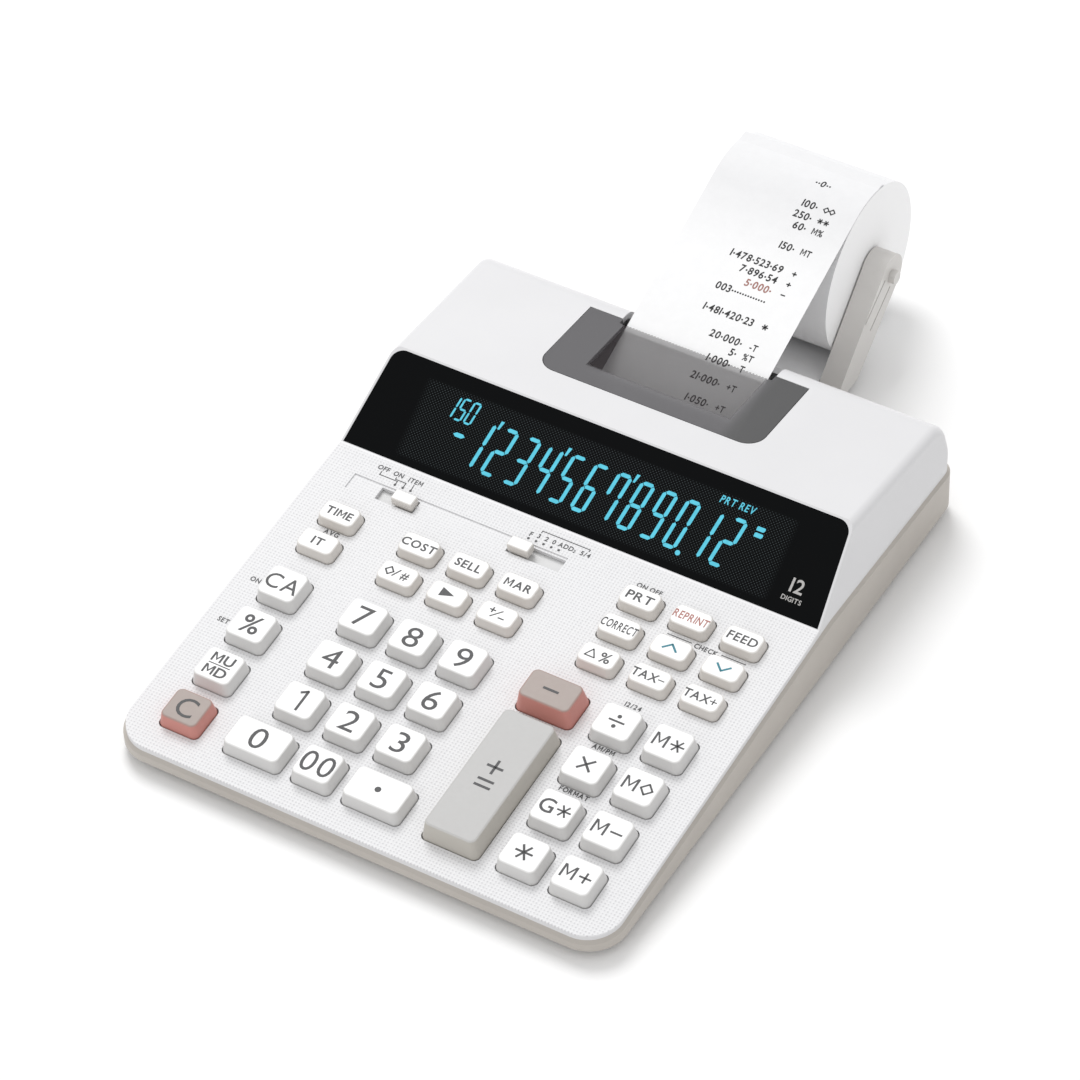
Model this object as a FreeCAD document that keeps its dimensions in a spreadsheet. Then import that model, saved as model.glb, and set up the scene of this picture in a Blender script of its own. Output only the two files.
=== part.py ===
# Printing desk calculator, with its paper roll behind the case.
# Units are millimetres.  +X is to the user's right, +Y goes to the rear and +Z is up.
# The origin is on the desk, under the middle of the calculator and its roll.
import FreeCAD, Part
import math
import os
import Sketcher
from FreeCAD import Placement, Rotation, Vector

doc = FreeCAD.newDocument("printing_calculator")
sheet = doc.addObject("Spreadsheet::Sheet", "Dims")

SIZES = [
    # The case
    ("case_width", 195.0, "overall width of the lower case"),
    ("case_depth", 247.5, "front edge to rear wall of the lower case"),
    ("case_clearance", 2.6, "gap under the case, made by the feet"),
    ("front_radius", 14.0, "plan radius of the two front corners"),
    ("rear_radius", 8.0, "plan radius of the two rear corners"),
    ("case_wall", 2.2, "side and top wall"),
    ("floor_wall", 1.5, "floor of the lower case"),
    ("upper_inset", 1.1, "step from the lower case in to the upper one"),
    ("seam_front", 8.1, "height of the seam at the front edge"),
    ("seam_knee", 155.0, "depth at which the seam stops rising"),
    ("seam_rear", 20.3, "height of the seam at the rear wall"),
    ("deck_front", 10.35, "height of the key deck at the front edge"),
    ("deck_tilt", 5.65, "tilt of the key deck, in degrees"),
    ("deck_wall", 2.0, "thickness of the key deck"),
    ("panel_start", 147.2, "front edge to the display panel"),
    ("panel_length", 39.2, "display panel, measured up its slope"),
    ("panel_tilt", 34.3, "slope of the display panel, in degrees"),
    ("top_fall", 5.2, "fall of the top cover to the rear, in degrees"),
    ("side_draft", 10.1, "lean of the sides above the seam, in degrees"),
    ("rear_lean", 2.0, "step of the rear wall from bottom to top"),
    ("top_round", 9.0, "radius along the rear top edge"),
    ("side_round", 3.5, "radius along the side top edges"),
    ("base_bevel", 1.4, "bevel round the bottom of the case"),
    ("vent_width", 30.0, "air slots in the floor, left to right"),
    ("vent_slot", 1.6, "air slots in the floor, front to rear"),
    ("vent_pitch", 5.0, "from one air slot to the next"),
    # The keys
    ("key_pitch", 20.02, "from one column of keys to the next"),
    ("row_pitch", 20.25, "from one row of large keys to the next"),
    ("first_row", 18.85, "front edge to the centre of the front row"),
    ("small_first", 102.1, "front edge to the front row of small keys"),
    ("small_pitch", 14.15, "from one row of small keys to the next"),
    ("block_shift", -43.64, "centre of the column of keys 7, 4 and 1"),
    ("left_column", -76.3, "centre of the left column"),
    ("key_width", 15.7, "large key at the deck"),
    ("key_depth", 14.8, "large key at the deck, front to rear"),
    ("key_height", 5.3, "large key above the deck"),
    ("small_width", 15.1, "small key at the deck"),
    ("small_depth", 9.7, "small key at the deck, front to rear"),
    ("small_height", 4.1, "small key above the deck"),
    ("wide_width", 22.9, "the two wide keys of the front row"),
    ("bar_width", 21.9, "the minus key and the total key"),
    ("bar_depth", 56.4, "the total key, front to rear"),
    ("bar_height", 7.6, "the minus key and the total key above the deck"),
    ("key_draft", 9.0, "taper of a key above the deck, in degrees"),
    ("key_corner", 2.4, "corner radius of a key"),
    ("key_edge", 0.8, "radius round the top of a key"),
    ("key_wall", 1.2, "wall of a hollow key"),
    ("key_flange", 0.6, "thickness of the flange that keeps a key in"),
    ("flange_lip", 0.8, "how far the flange stands out"),
    ("key_travel", 2.3, "how far a key goes down"),
    ("key_clearance", 0.35, "gap round a key in its hole"),
    ("rest_gap", 0.05, "flange to the underside of the deck"),
    ("mat_gap", 0.1, "pressed key to the mat"),
    ("mat_thickness", 0.8, "rubber key mat"),
    ("board_thickness", 0.9, "circuit board"),
    # The slide switches
    ("switch_row", 133.5, "front edge to the middle of the slide knobs"),
    ("knob_width", 8.6, "slide knob, left to right"),
    ("knob_depth", 4.8, "slide knob, front to rear"),
    ("knob_height", 3.0, "slide knob above the deck"),
    ("power_knob_x", -60.6, "power knob at its right stop"),
    ("power_travel", 6.2, "power knob, three places"),
    ("decimal_knob_x", -13.3, "decimal knob at its left stop"),
    ("decimal_travel", 12.2, "decimal knob, five places"),
    ("groove_depth", 0.5, "shallow groove that both knobs lie in"),
    ("groove_left", -83.5, "left end of the groove"),
    ("slot_clearance", 0.4, "gap round a knob's stem"),
    ("stem_length", 3.3, "knob's stem below the groove"),
    ("knob_edge", 0.7, "radius round the top of a slide knob"),
    # The display
    ("window_margin", 0.9, "case edge left round the display window"),
    ("window_thickness", 1.6, "smoked display window"),
    ("window_radius", 5.0, "upper corners of the window"),
    ("window_gap", 0.1, "gap round the window"),
    ("glass_width", 166.0, "display glass"),
    ("glass_depth", 29.0, "display glass, up the slope"),
    ("glass_thickness", 5.0, "display glass and its frame"),
    # The printer
    ("cover_width", 88.6, "smoked printer cover"),
    ("cover_length", 38.6, "smoked printer cover, front to rear"),
    ("cover_start", 16.8, "top edge of the panel to the printer cover"),
    ("cover_thickness", 1.8, "smoked printer cover"),
    ("cover_radius", 7.0, "front corners of the printer cover"),
    ("cover_gap", 0.3, "gap round the printer cover"),
    ("pin_back", 8.4, "front edge of the printer cover to its hinge pins"),
    ("pin_radius", 0.55, "hinge pin of the printer cover"),
    ("pin_length", 1.5, "how far a hinge pin stands out"),
    ("pin_gap", 0.05, "running clearance of a hinge pin"),
    ("tear_width", 62.0, "tear edge between the two tabs"),
    ("tear_step", 2.6, "tear edge in front of the tabs"),
    ("tooth_pitch", 1.25, "from one tooth of the tear edge to the next"),
    ("tooth_radius", 0.6, "size of a tooth, from its middle to a point"),
    ("notch_depth", 4.6, "depth of the notch that the paper lies in"),
    ("paper_width", 57.5, "width of the paper"),
    ("paper_thickness", 0.3, "paper, as a solid"),
    ("paper_gap", 0.3, "gap from the paper to what it passes"),
    ("platen_depth", 199.5, "front edge to the feed roller's axis"),
    ("platen_height", 20.6, "height of the feed roller's axis"),
    ("platen_radius", 6.0, "feed roller"),
    ("wheel_radius", 6.6, "print wheel"),
    ("shaft_radius", 1.5, "shafts of the feed roller and the print wheel"),
    ("shaft_gap", 0.05, "running clearance of a shaft"),
    ("frame_half", 33.5, "middle of the printer to its side plates' inner faces"),
    ("frame_plate", 1.6, "side plate"),
    ("frame_length", 48.0, "side plates, front to rear"),
    ("frame_height", 28.0, "height of the side plates"),
    ("frame_low", 6.2, "height of the printer's base plate"),
    ("frame_shift", 9.0, "feed roller's axis to the middle of the side plates"),
    ("motor_radius", 8.0, "print motor"),
    ("motor_length", 20.0, "print motor, left to right"),
    ("motor_back", 22.0, "feed roller's axis to the motor's"),
    ("motor_height", 17.0, "height of the motor's axis"),
    # The paper roll and its holder
    ("hub_back", 62.0, "rear wall of the case to the roll's axis"),
    ("hub_height", 34.0, "height of the roll's axis"),
    ("roll_radius", 33.0, "paper roll"),
    ("core_radius", 6.05, "bore of the roll's core"),
    ("hub_radius", 6.0, "hub that the core turns on"),
    ("hub_length", 3.2, "hub inside the core"),
    ("arm_gap", 0.6, "side of the roll to an arm"),
    ("arm_thickness", 8.6, "arm, left to right"),
    ("arm_head", 8.4, "radius of an arm's head"),
    ("foot_height", 11.0, "foot of an arm at the case"),
    ("foot_low", 3.0, "underside of an arm's foot"),
    ("elbow_back", 22.5, "rear wall of the case to the arm's elbow"),
    ("elbow_height", 7.6, "height of the arm's elbow"),
    ("heel_back", 37.0, "rear wall of the case to the arm's heel"),
    ("knob_radius", 2.6, "knob at the end of a hub"),
    ("knob_length", 2.4, "how far that knob stands out"),
    ("tongue_slit", 0.7, "slits of the spring tongue that carries a hub"),
    ("slit_spread", 3.6, "middle of the tongue to a slit"),
    ("slit_length", 18.0, "length of a slit"),
    ("bar_length", 7.0, "holder's cross bar, front to rear"),
    ("bar_thickness", 3.4, "holder's cross bar"),
    ("bar_back", 14.0, "rear wall of the case to the cross bar"),
    ("tail_curl", 11.0, "crown of the roll to the start of the paper's loose end, in degrees"),
    ("tail_length", 5.0, "loose end of the paper"),
    # Underneath
    ("cell_length", 50.5, "battery cell, size AA"),
    ("cell_diameter", 14.5, "battery cell, size AA"),
    ("cell_gap", 0.5, "gap round the cells"),
    ("bay_wall", 1.4, "wall of the battery bay"),
    ("bay_start", 160.0, "front edge to the battery bay"),
    ("bay_left", -91.4, "left end of the battery bay"),
    ("door_thickness", 1.6, "battery door"),
    ("door_lap", 1.2, "door beyond the bay, all round"),
    ("door_gap", 0.15, "gap round the battery door"),
    ("door_travel", 8.0, "slide of the battery door before it lifts off"),
    ("foot_radius", 6.5, "rubber foot"),
    ("foot_seat", 0.6, "depth of a foot's seat in the floor"),
    ("foot_inset", 19.0, "case edges to the middle of a foot"),
    ("boss_radius", 3.4, "screw boss"),
    ("screw_radius", 1.3, "hole for a case screw"),
    ("jack_x", 70.0, "adaptor socket, from the middle"),
    ("jack_height", 12.0, "adaptor socket, height of its axis"),
    ("jack_radius", 2.75, "bore of the adaptor socket"),
    ("jack_length", 9.0, "depth of the adaptor socket"),
    ("jack_width", 11.0, "block of the adaptor socket"),
    ("jack_tall", 9.0, "height of that block"),
    ("jack_pin", 0.8, "radius of the pin in the adaptor socket"),
    ("chip_width", 14.0, "chip on the circuit board"),
    ("chip_depth", 5.0, "chip, front to rear"),
    ("chip_x", 16.0, "chip, from the middle"),
    ("board_inset", 10.0, "side of the upper case to the board and the mat"),
    ("board_start", 11.0, "front edge to the board and the mat"),
]
for row, (alias, number, note) in enumerate(SIZES, start=1):
    sheet.set(f"A{row}", note)
    sheet.set(f"B{row}", str(number))
    sheet.setAlias(f"B{row}", alias)
doc.recompute()

# Words such as case_width in an expression stand for the sheet's cells.
WORDS = sorted((alias for alias, _, _ in SIZES), key=len, reverse=True)


def bound(text):
    """Turn 'case_width / 2' into 'Dims.case_width / 2'."""
    out, word = "", ""
    for letter in str(text) + " ":
        if letter.isalnum() or letter in "_.":
            word += letter
            continue
        out += ("Dims." + word if word in WORDS else word) + letter
        word = ""
    return out.strip()


def value(text):
    """The number that an expression has now."""
    result = sheet.evalExpression(bound(text))
    return float(getattr(result, "Value", result))


def bind(piece, **expressions):
    """Tie properties of an object to expressions on the sheet."""
    for name, text in expressions.items():
        piece.setExpression(name.replace("__", "."), bound(text))


# Places that follow from the driving sizes.
FRONT = "(0 - (case_depth + hub_back + roll_radius) / 2)"
REAR = f"({FRONT} + case_depth)"
HALF = "(case_width / 2)"
UPPER_HALF = f"({HALF} - upper_inset)"
FLOOR = "case_clearance"
DECK_SLOPE = "tan(deck_tilt * 1deg)"
PANEL_FOOT = f"(deck_front + panel_start * {DECK_SLOPE})"
RIDGE_BACK = "(panel_start + panel_length * cos(panel_tilt * 1deg))"
RIDGE_TOP = f"({PANEL_FOOT} + panel_length * sin(panel_tilt * 1deg))"
UPPER_BACK = "(case_depth - upper_inset)"
REAR_TOP = f"({RIDGE_TOP} - ({UPPER_BACK} - rear_lean - {RIDGE_BACK}) * tan(top_fall * 1deg))"
SEAM_KNEE = f"(seam_front + seam_knee * {DECK_SLOPE})"
SEAM = [f"seam_front + upper_inset * {DECK_SLOPE}", SEAM_KNEE,
        f"seam_rear + upper_inset * ({SEAM_KNEE} - seam_rear) / (case_depth - seam_knee)"]
AXIS_Y = f"({REAR} + hub_back)"
FLANGE_LOW = "(0 - deck_wall - rest_gap - key_flange)"
MAT_TOP = f"({FLANGE_LOW} - key_travel - mat_gap)"
CAVITY_TOP = "(key_travel - 0.55)"
STEM_LOW = "(0 - groove_depth - stem_length)"


class Frame:
    """A tilted working plane: x to the right, v up its slope and w out of it."""

    def __init__(self, back, height, tilt):
        self.y = f"({FRONT} + {back})"
        self.z = height
        self.tilt = tilt

    def place(self, piece, x, v, w):
        sine = f"sin({self.tilt} * 1deg)"
        cosine = f"cos({self.tilt} * 1deg)"
        piece.Placement = Placement(Vector(), Rotation(Vector(1, 0, 0), value(self.tilt)))
        bind(piece,
             Placement__Base__x=x,
             Placement__Base__y=f"{self.y} + ({v}) * {cosine} - ({w}) * {sine}",
             Placement__Base__z=f"{self.z} + ({v}) * {sine} + ({w}) * {cosine}",
             Placement__Rotation__Angle=self.tilt)


LEVEL = Frame("0", "0", "0")
DECK = Frame("0", "deck_front", "deck_tilt")
PANEL = Frame("panel_start", PANEL_FOOT, "panel_tilt")
TOP = Frame(RIDGE_BACK, RIDGE_TOP, "(0 - top_fall)")
PLANES = {
    "side": Rotation(Vector(1, 1, 1), 120),
    "front": Rotation(Vector(1, 0, 0), 90),
    "plan": Rotation(),
}


def polygon(sketch, points):
    """Closed outline whose corners are tied to pairs of expressions."""
    corners = [Vector(value(a), value(b), 0) for a, b in points]
    count = len(corners)
    for index, corner in enumerate(corners):
        sketch.addGeometry(Part.LineSegment(corner, corners[(index + 1) % count]), False)
    for index in range(count):
        sketch.addConstraint(Sketcher.Constraint("Coincident", index, 2, (index + 1) % count, 1))
    for index, (across, along) in enumerate(points):
        for kind, text, now in (("DistanceX", across, corners[index].x),
                                ("DistanceY", along, corners[index].y)):
            if abs(now) < 1e-9:
                fixed = "PointOnObject"
                sketch.addConstraint(Sketcher.Constraint(fixed, index, 1, -2 if kind == "DistanceX" else -1))
                continue
            number = sketch.addConstraint(Sketcher.Constraint(kind, -1, 1, index, 1, now))
            sketch.setExpression(f"Constraints[{number}]", bound(text))
    return sketch


def rectangle(sketch, wide, deep):
    half_wide, half_deep = f"({wide}) / 2", f"({deep}) / 2"
    return polygon(sketch, [(f"0 - {half_wide}", f"0 - {half_deep}"), (half_wide, f"0 - {half_deep}"),
                            (half_wide, half_deep), (f"0 - {half_wide}", half_deep)])


def prism(name, view, points, length, start=None):
    """Solid drawn in one view and run across it: from the middle, or from start."""
    sketch = polygon(doc.addObject("Sketcher::SketchObject", name + "_outline"), points)
    sketch.Placement = Placement(Vector(), PLANES[view])
    solid = doc.addObject("Part::Extrusion", name)
    solid.Base = sketch
    solid.Solid = True
    solid.DirMode = "Custom"
    solid.Dir = {"side": Vector(1, 0, 0), "front": Vector(0, 1, 0), "plan": Vector(0, 0, 1)}[view]
    solid.Symmetric = start is None
    bind(solid, LengthFwd=length)
    if start is not None:
        axis = {"side": "x", "front": "y", "plan": "z"}[view]
        bind(solid, **{"Placement__Base__" + axis: start})
    return solid


def box(name, frame, wide, deep, tall, x, v, w):
    """Box with its middle at x and v in a frame, and its low face at w."""
    solid = doc.addObject("Part::Box", name)
    bind(solid, Length=wide, Width=deep, Height=tall)
    frame.place(solid, f"({x}) - ({wide}) / 2", f"({v}) - ({deep}) / 2", w)
    return solid


def rod(name, radius, length, x, back, height, axis="x"):
    """Cylinder that starts at a point and runs along +X or +Z."""
    solid = doc.addObject("Part::Cylinder", name)
    bind(solid, Radius=radius, Height=length)
    turn = Rotation(Vector(0, 1, 0), 90) if axis == "x" else Rotation()
    if axis == "y":
        turn = Rotation(Vector(1, 0, 0), -90)
    solid.Placement = Placement(Vector(), turn)
    bind(solid, Placement__Base__x=x, Placement__Base__y=back, Placement__Base__z=height)
    return solid


def fuse(name, pieces):
    """Pieces joined, or kept as separate solids under one name where they do not touch."""
    solid = doc.addObject("Part::MultiFuse", name)
    solid.Shapes = pieces
    return solid


def cut(name, base, tools):
    """Base less one tool, or less several joined tools."""
    solid = doc.addObject("Part::Cut", name)
    solid.Base = base
    solid.Tool = tools[0] if len(tools) == 1 else fuse(name + "_tools", tools)
    return solid


def common(name, pieces):
    solid = doc.addObject("Part::MultiCommon", name)
    solid.Shapes = pieces
    return solid


def round_edges(name, base, rules):
    """Fillet the edges that each rule picks; a rule is (radius, test of one edge)."""
    doc.recompute()
    picked = []
    for radius, test in rules:
        for number, edge in enumerate(base.Shape.Edges, start=1):
            if test(edge):
                picked.append((number, radius, radius))
    if not picked:
        raise RuntimeError(name + ": no edge to round")
    solid = doc.addObject("Part::Fillet", name)
    solid.Base = base
    solid.Edges = picked
    return solid


def runs_along(edge, axis, slack=0.02):
    """True if a straight edge lies along an axis."""
    if edge.Curve.TypeId != "Part::GeomLine":
        return False
    return abs(abs(edge.tangentAt(edge.FirstParameter).dot(axis)) - 1) < slack


def middle(edge):
    return edge.valueAt((edge.FirstParameter + edge.LastParameter) / 2)


def upright(edge):
    return runs_along(edge, Vector(0, 0, 1), 1e-6)


def finish(piece, name):
    """Give a finished sub-part the label that names its node."""
    piece.Label = name
    PARTS.append(piece)
    return piece


PARTS = []


# ---------------------------------------------------------------- case shells
def plan_block(name, half, front, rear, radius_front, radius_rear, low, high):
    """Upright block with the case's rounded plan; front and rear are depths."""
    length = f"({rear}) - ({front})"
    block = box(name + "_plan", LEVEL, f"2 * ({half})", length, f"({high}) - ({low})",
                "0", f"({front}) + ({length}) / 2", low)
    doc.recompute()
    middle_y = block.Shape.BoundBox.Center.y
    return round_edges(name + "_corners", block, [
        (value(radius_front), lambda e: upright(e) and middle(e).y < middle_y),
        (value(radius_rear), lambda e: upright(e) and middle(e).y > middle_y)])


def back(text):
    """Depth behind the front edge, as a Y coordinate."""
    return f"{FRONT} + ({text})"


def upper_block(name, wall, low_edge):
    """Outer form of the upper case, or its hollow when it is given a wall."""
    skin = f"({wall})"
    deck_skin = "(deck_wall / cos(deck_tilt * 1deg))" if wall != "0" else "0"
    panel_skin = f"({skin} * tan(panel_tilt * 1deg / 2))"
    half = f"({UPPER_HALF} - {skin})"
    rear_low = f"{UPPER_BACK} - {skin}"
    rear_high = f"{UPPER_BACK} - rear_lean - {skin}"
    profile = [
        (back(f"upper_inset + {skin}"), low_edge[0]),
        (back("seam_knee"), low_edge[1]),
        (back(rear_low), low_edge[2]),
        (back(rear_high), f"{REAR_TOP} - {skin}"),
        (back(f"{RIDGE_BACK} + {panel_skin}"), f"{RIDGE_TOP} - {skin} - {panel_skin} * tan(top_fall * 1deg)"),
        (back(f"panel_start + {panel_skin}"), f"{PANEL_FOOT} - {deck_skin} + {panel_skin} * {DECK_SLOPE}"),
        (back(f"upper_inset + {skin}"), f"deck_front - {deck_skin} + (upper_inset + {skin}) * {DECK_SLOPE}"),
    ]
    side = prism(name + "_side", "side", profile, "2 * case_width")
    crown = f"{RIDGE_TOP} + 10"
    lean = f"({crown} - {SEAM_KNEE}) * tan(side_draft * 1deg)"
    section = [
        (f"0 - {half}", "0 - 20"), (half, "0 - 20"), (half, SEAM_KNEE),
        (f"{half} - {lean}", crown), (f"{lean} - {half}", crown), (f"0 - {half}", SEAM_KNEE),
    ]
    front = prism(name + "_front", "front", section, "4 * case_depth")
    plan = plan_block(name, half, f"upper_inset + {skin}", rear_low,
                      f"front_radius - upper_inset - {skin}", f"rear_radius - upper_inset - {skin}",
                      "0 - 20", crown)
    return common(name, [side, front, plan])


def make_upper_case(holes):
    """Top shell: key deck, display panel, printer opening and rear wall."""
    outer = upper_block("upper_form", "0", SEAM)
    doc.recompute()
    ridge = value(RIDGE_TOP)
    ridge_y = value(back(RIDGE_BACK))
    rear_y = value(back(f"{UPPER_BACK} - rear_lean"))
    across = Vector(1, 0, 0)
    panel_foot = value(PANEL_FOOT)

    def rear_top(edge):
        near = middle(edge).y > rear_y - value("case_wall") - 1
        return runs_along(edge, across) and near and middle(edge).z > panel_foot

    def side_top(edge):
        spot = middle(edge)
        return spot.y > ridge_y + 1 and spot.y < rear_y - 1 and abs(spot.x) > 60 and spot.z > panel_foot + 4

    rounded = round_edges("upper_rear_round", outer, [(value("top_round"), rear_top)])
    doc.recompute()
    rounded = round_edges("upper_side_round", rounded, [
        (value("side_round"), lambda e: side_top(e) and not runs_along(e, across) and
         e.Length > 20 and middle(e).z > ridge - 12)])
    doc.recompute()

    hollow = upper_block("upper_hollow", "case_wall", ["0 - 10", "0 - 10", "0 - 10"])
    hollow_round = round_edges("upper_hollow_round", hollow, [
        (value("top_round - case_wall"), rear_top)])
    shell = cut("upper_shell", rounded, [hollow_round])

    # Window seat and the opening that the display glass shows through
    seat = window_block("window_seat", "window_gap", "window_thickness + window_gap")
    opening = box("glass_opening", PANEL, "glass_width + 2", "glass_depth - 2", "12",
                  "0", "panel_length / 2", "0 - 11")
    # Printer opening, and the notch behind it that the paper lies in
    well = cover_block("printer_opening", "cover_gap", "20", "0 - 15", "0")
    notch = box("paper_notch", TOP, "tear_width + 2 * cover_gap", "60", "20",
                "0", "cover_start + cover_length + 30 - tear_step", "0 - notch_depth")
    # Groove and slots of the two slide switches
    groove_right = "decimal_knob_x + decimal_travel + knob_width / 2 + slot_clearance"
    groove = box("switch_groove", DECK, f"{groove_right} - groove_left", "knob_depth + 2.4", "4",
                 f"(groove_left + {groove_right}) / 2", "switch_row + 0.2", "0 - groove_depth")
    slots = []
    for name, x, travel in (("power", "power_knob_x - power_travel / 2", "power_travel"),
                            ("decimal", "decimal_knob_x + decimal_travel / 2", "decimal_travel")):
        slots.append(box(name + "_slot", DECK, f"knob_width + {travel} + 2 * slot_clearance",
                         "knob_depth + 2 * slot_clearance", "8", x, "switch_row", "0 - 6"))
    bores = cover_pins("cover_pin_bores", "pin_radius + pin_gap", "pin_length + 2 * pin_gap")
    tools = [seat, opening, well, notch, groove, bores] + slots + holes
    return finish(cut("upper_case_solid", shell, tools), "upper_case")


def window_block(name, gap, depth):
    """Plate in the display panel: wide at its foot, with rounded upper corners."""
    foot = f"({UPPER_HALF} - ({PANEL_FOOT} - {SEAM_KNEE}) * tan(side_draft * 1deg) - window_margin + {gap})"
    rise = "panel_length * sin(panel_tilt * 1deg)"
    head = f"({foot} - {rise} * tan(side_draft * 1deg))"
    margin = f"(window_margin - {gap})"
    sketch = polygon(doc.addObject("Sketcher::SketchObject", name + "_outline"), [
        (f"0 - {foot}", f"{margin} / 3"), (foot, f"{margin} / 3"),
        (head, f"panel_length - {margin}"), (f"0 - {head}", f"panel_length - {margin}")])
    PANEL.place(sketch, "0", "0", f"0 - ({depth})")
    block = doc.addObject("Part::Extrusion", name + "_block")
    block.Base = sketch
    block.Solid = True
    block.DirMode = "Normal"
    extra = "0" if gap == "0" else "6"
    bind(block, LengthFwd=f"{depth} + {extra}")
    doc.recompute()
    low_z = value(PANEL_FOOT) + value(rise) / 2
    return round_edges(name, block, [
        (value(f"window_radius + {gap}"), lambda e: e.Length < value(depth) + 10 and
         abs(middle(e).x) > value(head) - 3 and middle(e).z > low_z and
         abs(e.tangentAt(0).x) < 0.02)])


def cover_block(name, gap, tall, low, tabs):
    """Printer cover's plate, or the opening for it when it is given a gap."""
    block = box(name + "_plate", TOP, f"cover_width + 2 * {gap}", f"cover_length + 2 * {gap}", tall,
                "0", "cover_start + cover_length / 2", low)
    doc.recompute()
    front_y = value(back(f"{RIDGE_BACK} + cover_start + cover_length / 3"))
    normal = top_normal()
    return round_edges(name + "_rounded" if tabs != "0" else name, block, [
        (value(f"cover_radius + {gap}"), lambda e: runs_along(e, normal, 1e-4) and middle(e).y < front_y)])


def cover_pins(name, radius, length):
    """The hinge pins at the sides of the printer cover, or the bores for them."""
    v, w = "(cover_start + pin_back)", "(0 - cover_thickness / 2)"
    return rod(name, radius, f"cover_width + 2 * ({length})", f"0 - cover_width / 2 - ({length})",
               f"{TOP.y} + {v} * cos(top_fall * 1deg) + {w} * sin(top_fall * 1deg)",
               f"{TOP.z} - {v} * sin(top_fall * 1deg) + {w} * cos(top_fall * 1deg)")


def top_normal():
    angle = math.radians(value("top_fall"))
    return Vector(0, math.sin(angle), math.cos(angle))


def make_lower_case():
    """Tray with bevelled edges, battery bay, bosses, foot seats and rear sockets."""
    profile = [
        (back("0"), FLOOR), (back("case_depth"), FLOOR), (back("case_depth"), "seam_rear"),
        (back("seam_knee"), SEAM_KNEE), (back("0"), "seam_front"),
    ]
    side = prism("lower_side", "side", profile, "2 * case_width")
    plan = plan_block("lower", HALF, "0", "case_depth", "front_radius", "rear_radius", "0 - 5", "60")
    form = common("lower_form", [side, plan])
    doc.recompute()
    floor_z = value(FLOOR)
    bevel = doc.addObject("Part::Chamfer", "lower_bevels")
    bevel.Base = form
    top_bevel = value("upper_inset")
    picked = []
    for number, edge in enumerate(form.Shape.Edges, start=1):
        box_z = edge.BoundBox
        if abs(box_z.ZMax - floor_z) < 1e-4 and abs(box_z.ZMin - floor_z) < 1e-4:
            picked.append((number, value("base_bevel"), value("base_bevel")))
        elif box_z.ZMin > value("seam_front") - 0.05 and not across_top(edge):
            picked.append((number, top_bevel, top_bevel))
    bevel.Edges = picked

    hollow = plan_block("lower_hollow", f"{HALF} - case_wall", "case_wall", "case_depth - case_wall",
                        "front_radius - case_wall", "rear_radius - case_wall", "case_clearance + floor_wall", "60")
    tray = cut("lower_tray", bevel, [hollow])

    bay_wide, bay_deep = BAY
    pads = [box("bay_pad", LEVEL, f"{bay_wide} + 2 * door_lap + 3", f"{bay_deep} + 2 * door_lap + door_travel + 3",
                "door_thickness + 1.5", BAY_X, f"{BAY_V} - door_travel / 2", FLOOR),
            box("bay_walls", LEVEL, f"{bay_wide} + 2 * bay_wall", f"{bay_deep} + 2 * bay_wall",
                f"door_thickness + cell_diameter + 2 * cell_gap + bay_wall", BAY_X, BAY_V, FLOOR)]
    seats = []
    for index, (x, v) in enumerate(BOSSES):
        pads.append(rod(f"boss_{index}", "boss_radius", "4", x, back(v), FLOOR, "z"))
        seats.append(rod(f"screw_hole_{index}", "screw_radius", "30", x, back(v), "0", "z"))
    body = fuse("lower_body", [tray] + pads)

    for index, (x, v) in enumerate(FEET):
        seats.append(rod(f"foot_seat_{index}", "foot_radius + 0.1", "case_clearance + foot_seat",
                         x, back(v), "0", "z"))
    seats.append(box("bay_space", LEVEL, bay_wide, bay_deep, "door_thickness + cell_diameter + 2 * cell_gap",
                     BAY_X, BAY_V, f"{FLOOR} - 0.1"))
    seats.append(box("door_recess", LEVEL, f"{bay_wide} + 2 * door_lap + 2 * door_gap",
                     f"{bay_deep} + 2 * door_lap + door_travel + 2 * door_gap", "door_thickness + door_gap + 1",
                     BAY_X, f"{BAY_V} - door_travel / 2", f"{FLOOR} - 1"))
    # Rear wall: paper slot, adaptor socket and the two sockets for the holder's arms
    seats.append(box("paper_slot", LEVEL, "paper_width + 3", "3 * case_wall", "2.4",
                     "0", "case_depth - case_wall / 2", "platen_height - platen_radius - 1.5"))
    seats.append(rod("jack_hole", "jack_radius + 0.6", "3 * case_wall", "jack_x",
                     back("case_depth - 2 * case_wall"), "jack_height", "y"))
    for side_name, sign in (("left", "0 - 1"), ("right", "1")):
        seats.append(box(f"arm_socket_{side_name}", LEVEL, "arm_thickness - 2 + 2 * slot_clearance",
                         "3 * case_wall", "foot_height - 4 + 2 * slot_clearance",
                         f"({sign}) * ({ARM_X})", "case_depth - case_wall / 2",
                         "foot_low + 2 - slot_clearance"))
    for number in range(VENTS):
        seats.append(box(f"vent_{number}", LEVEL, "vent_width", "vent_slot", "6", "20",
                         f"seam_knee + 30 + {number} * vent_pitch", "0"))
    return finish(cut("lower_case_solid", body, seats), "lower_case")


def across_top(edge):
    """True for the short top edges that run across the case at the seam's knee."""
    knee_y = value(back("seam_knee"))
    return runs_along(edge, Vector(1, 0, 0)) and abs(middle(edge).y - knee_y) < 1


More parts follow.
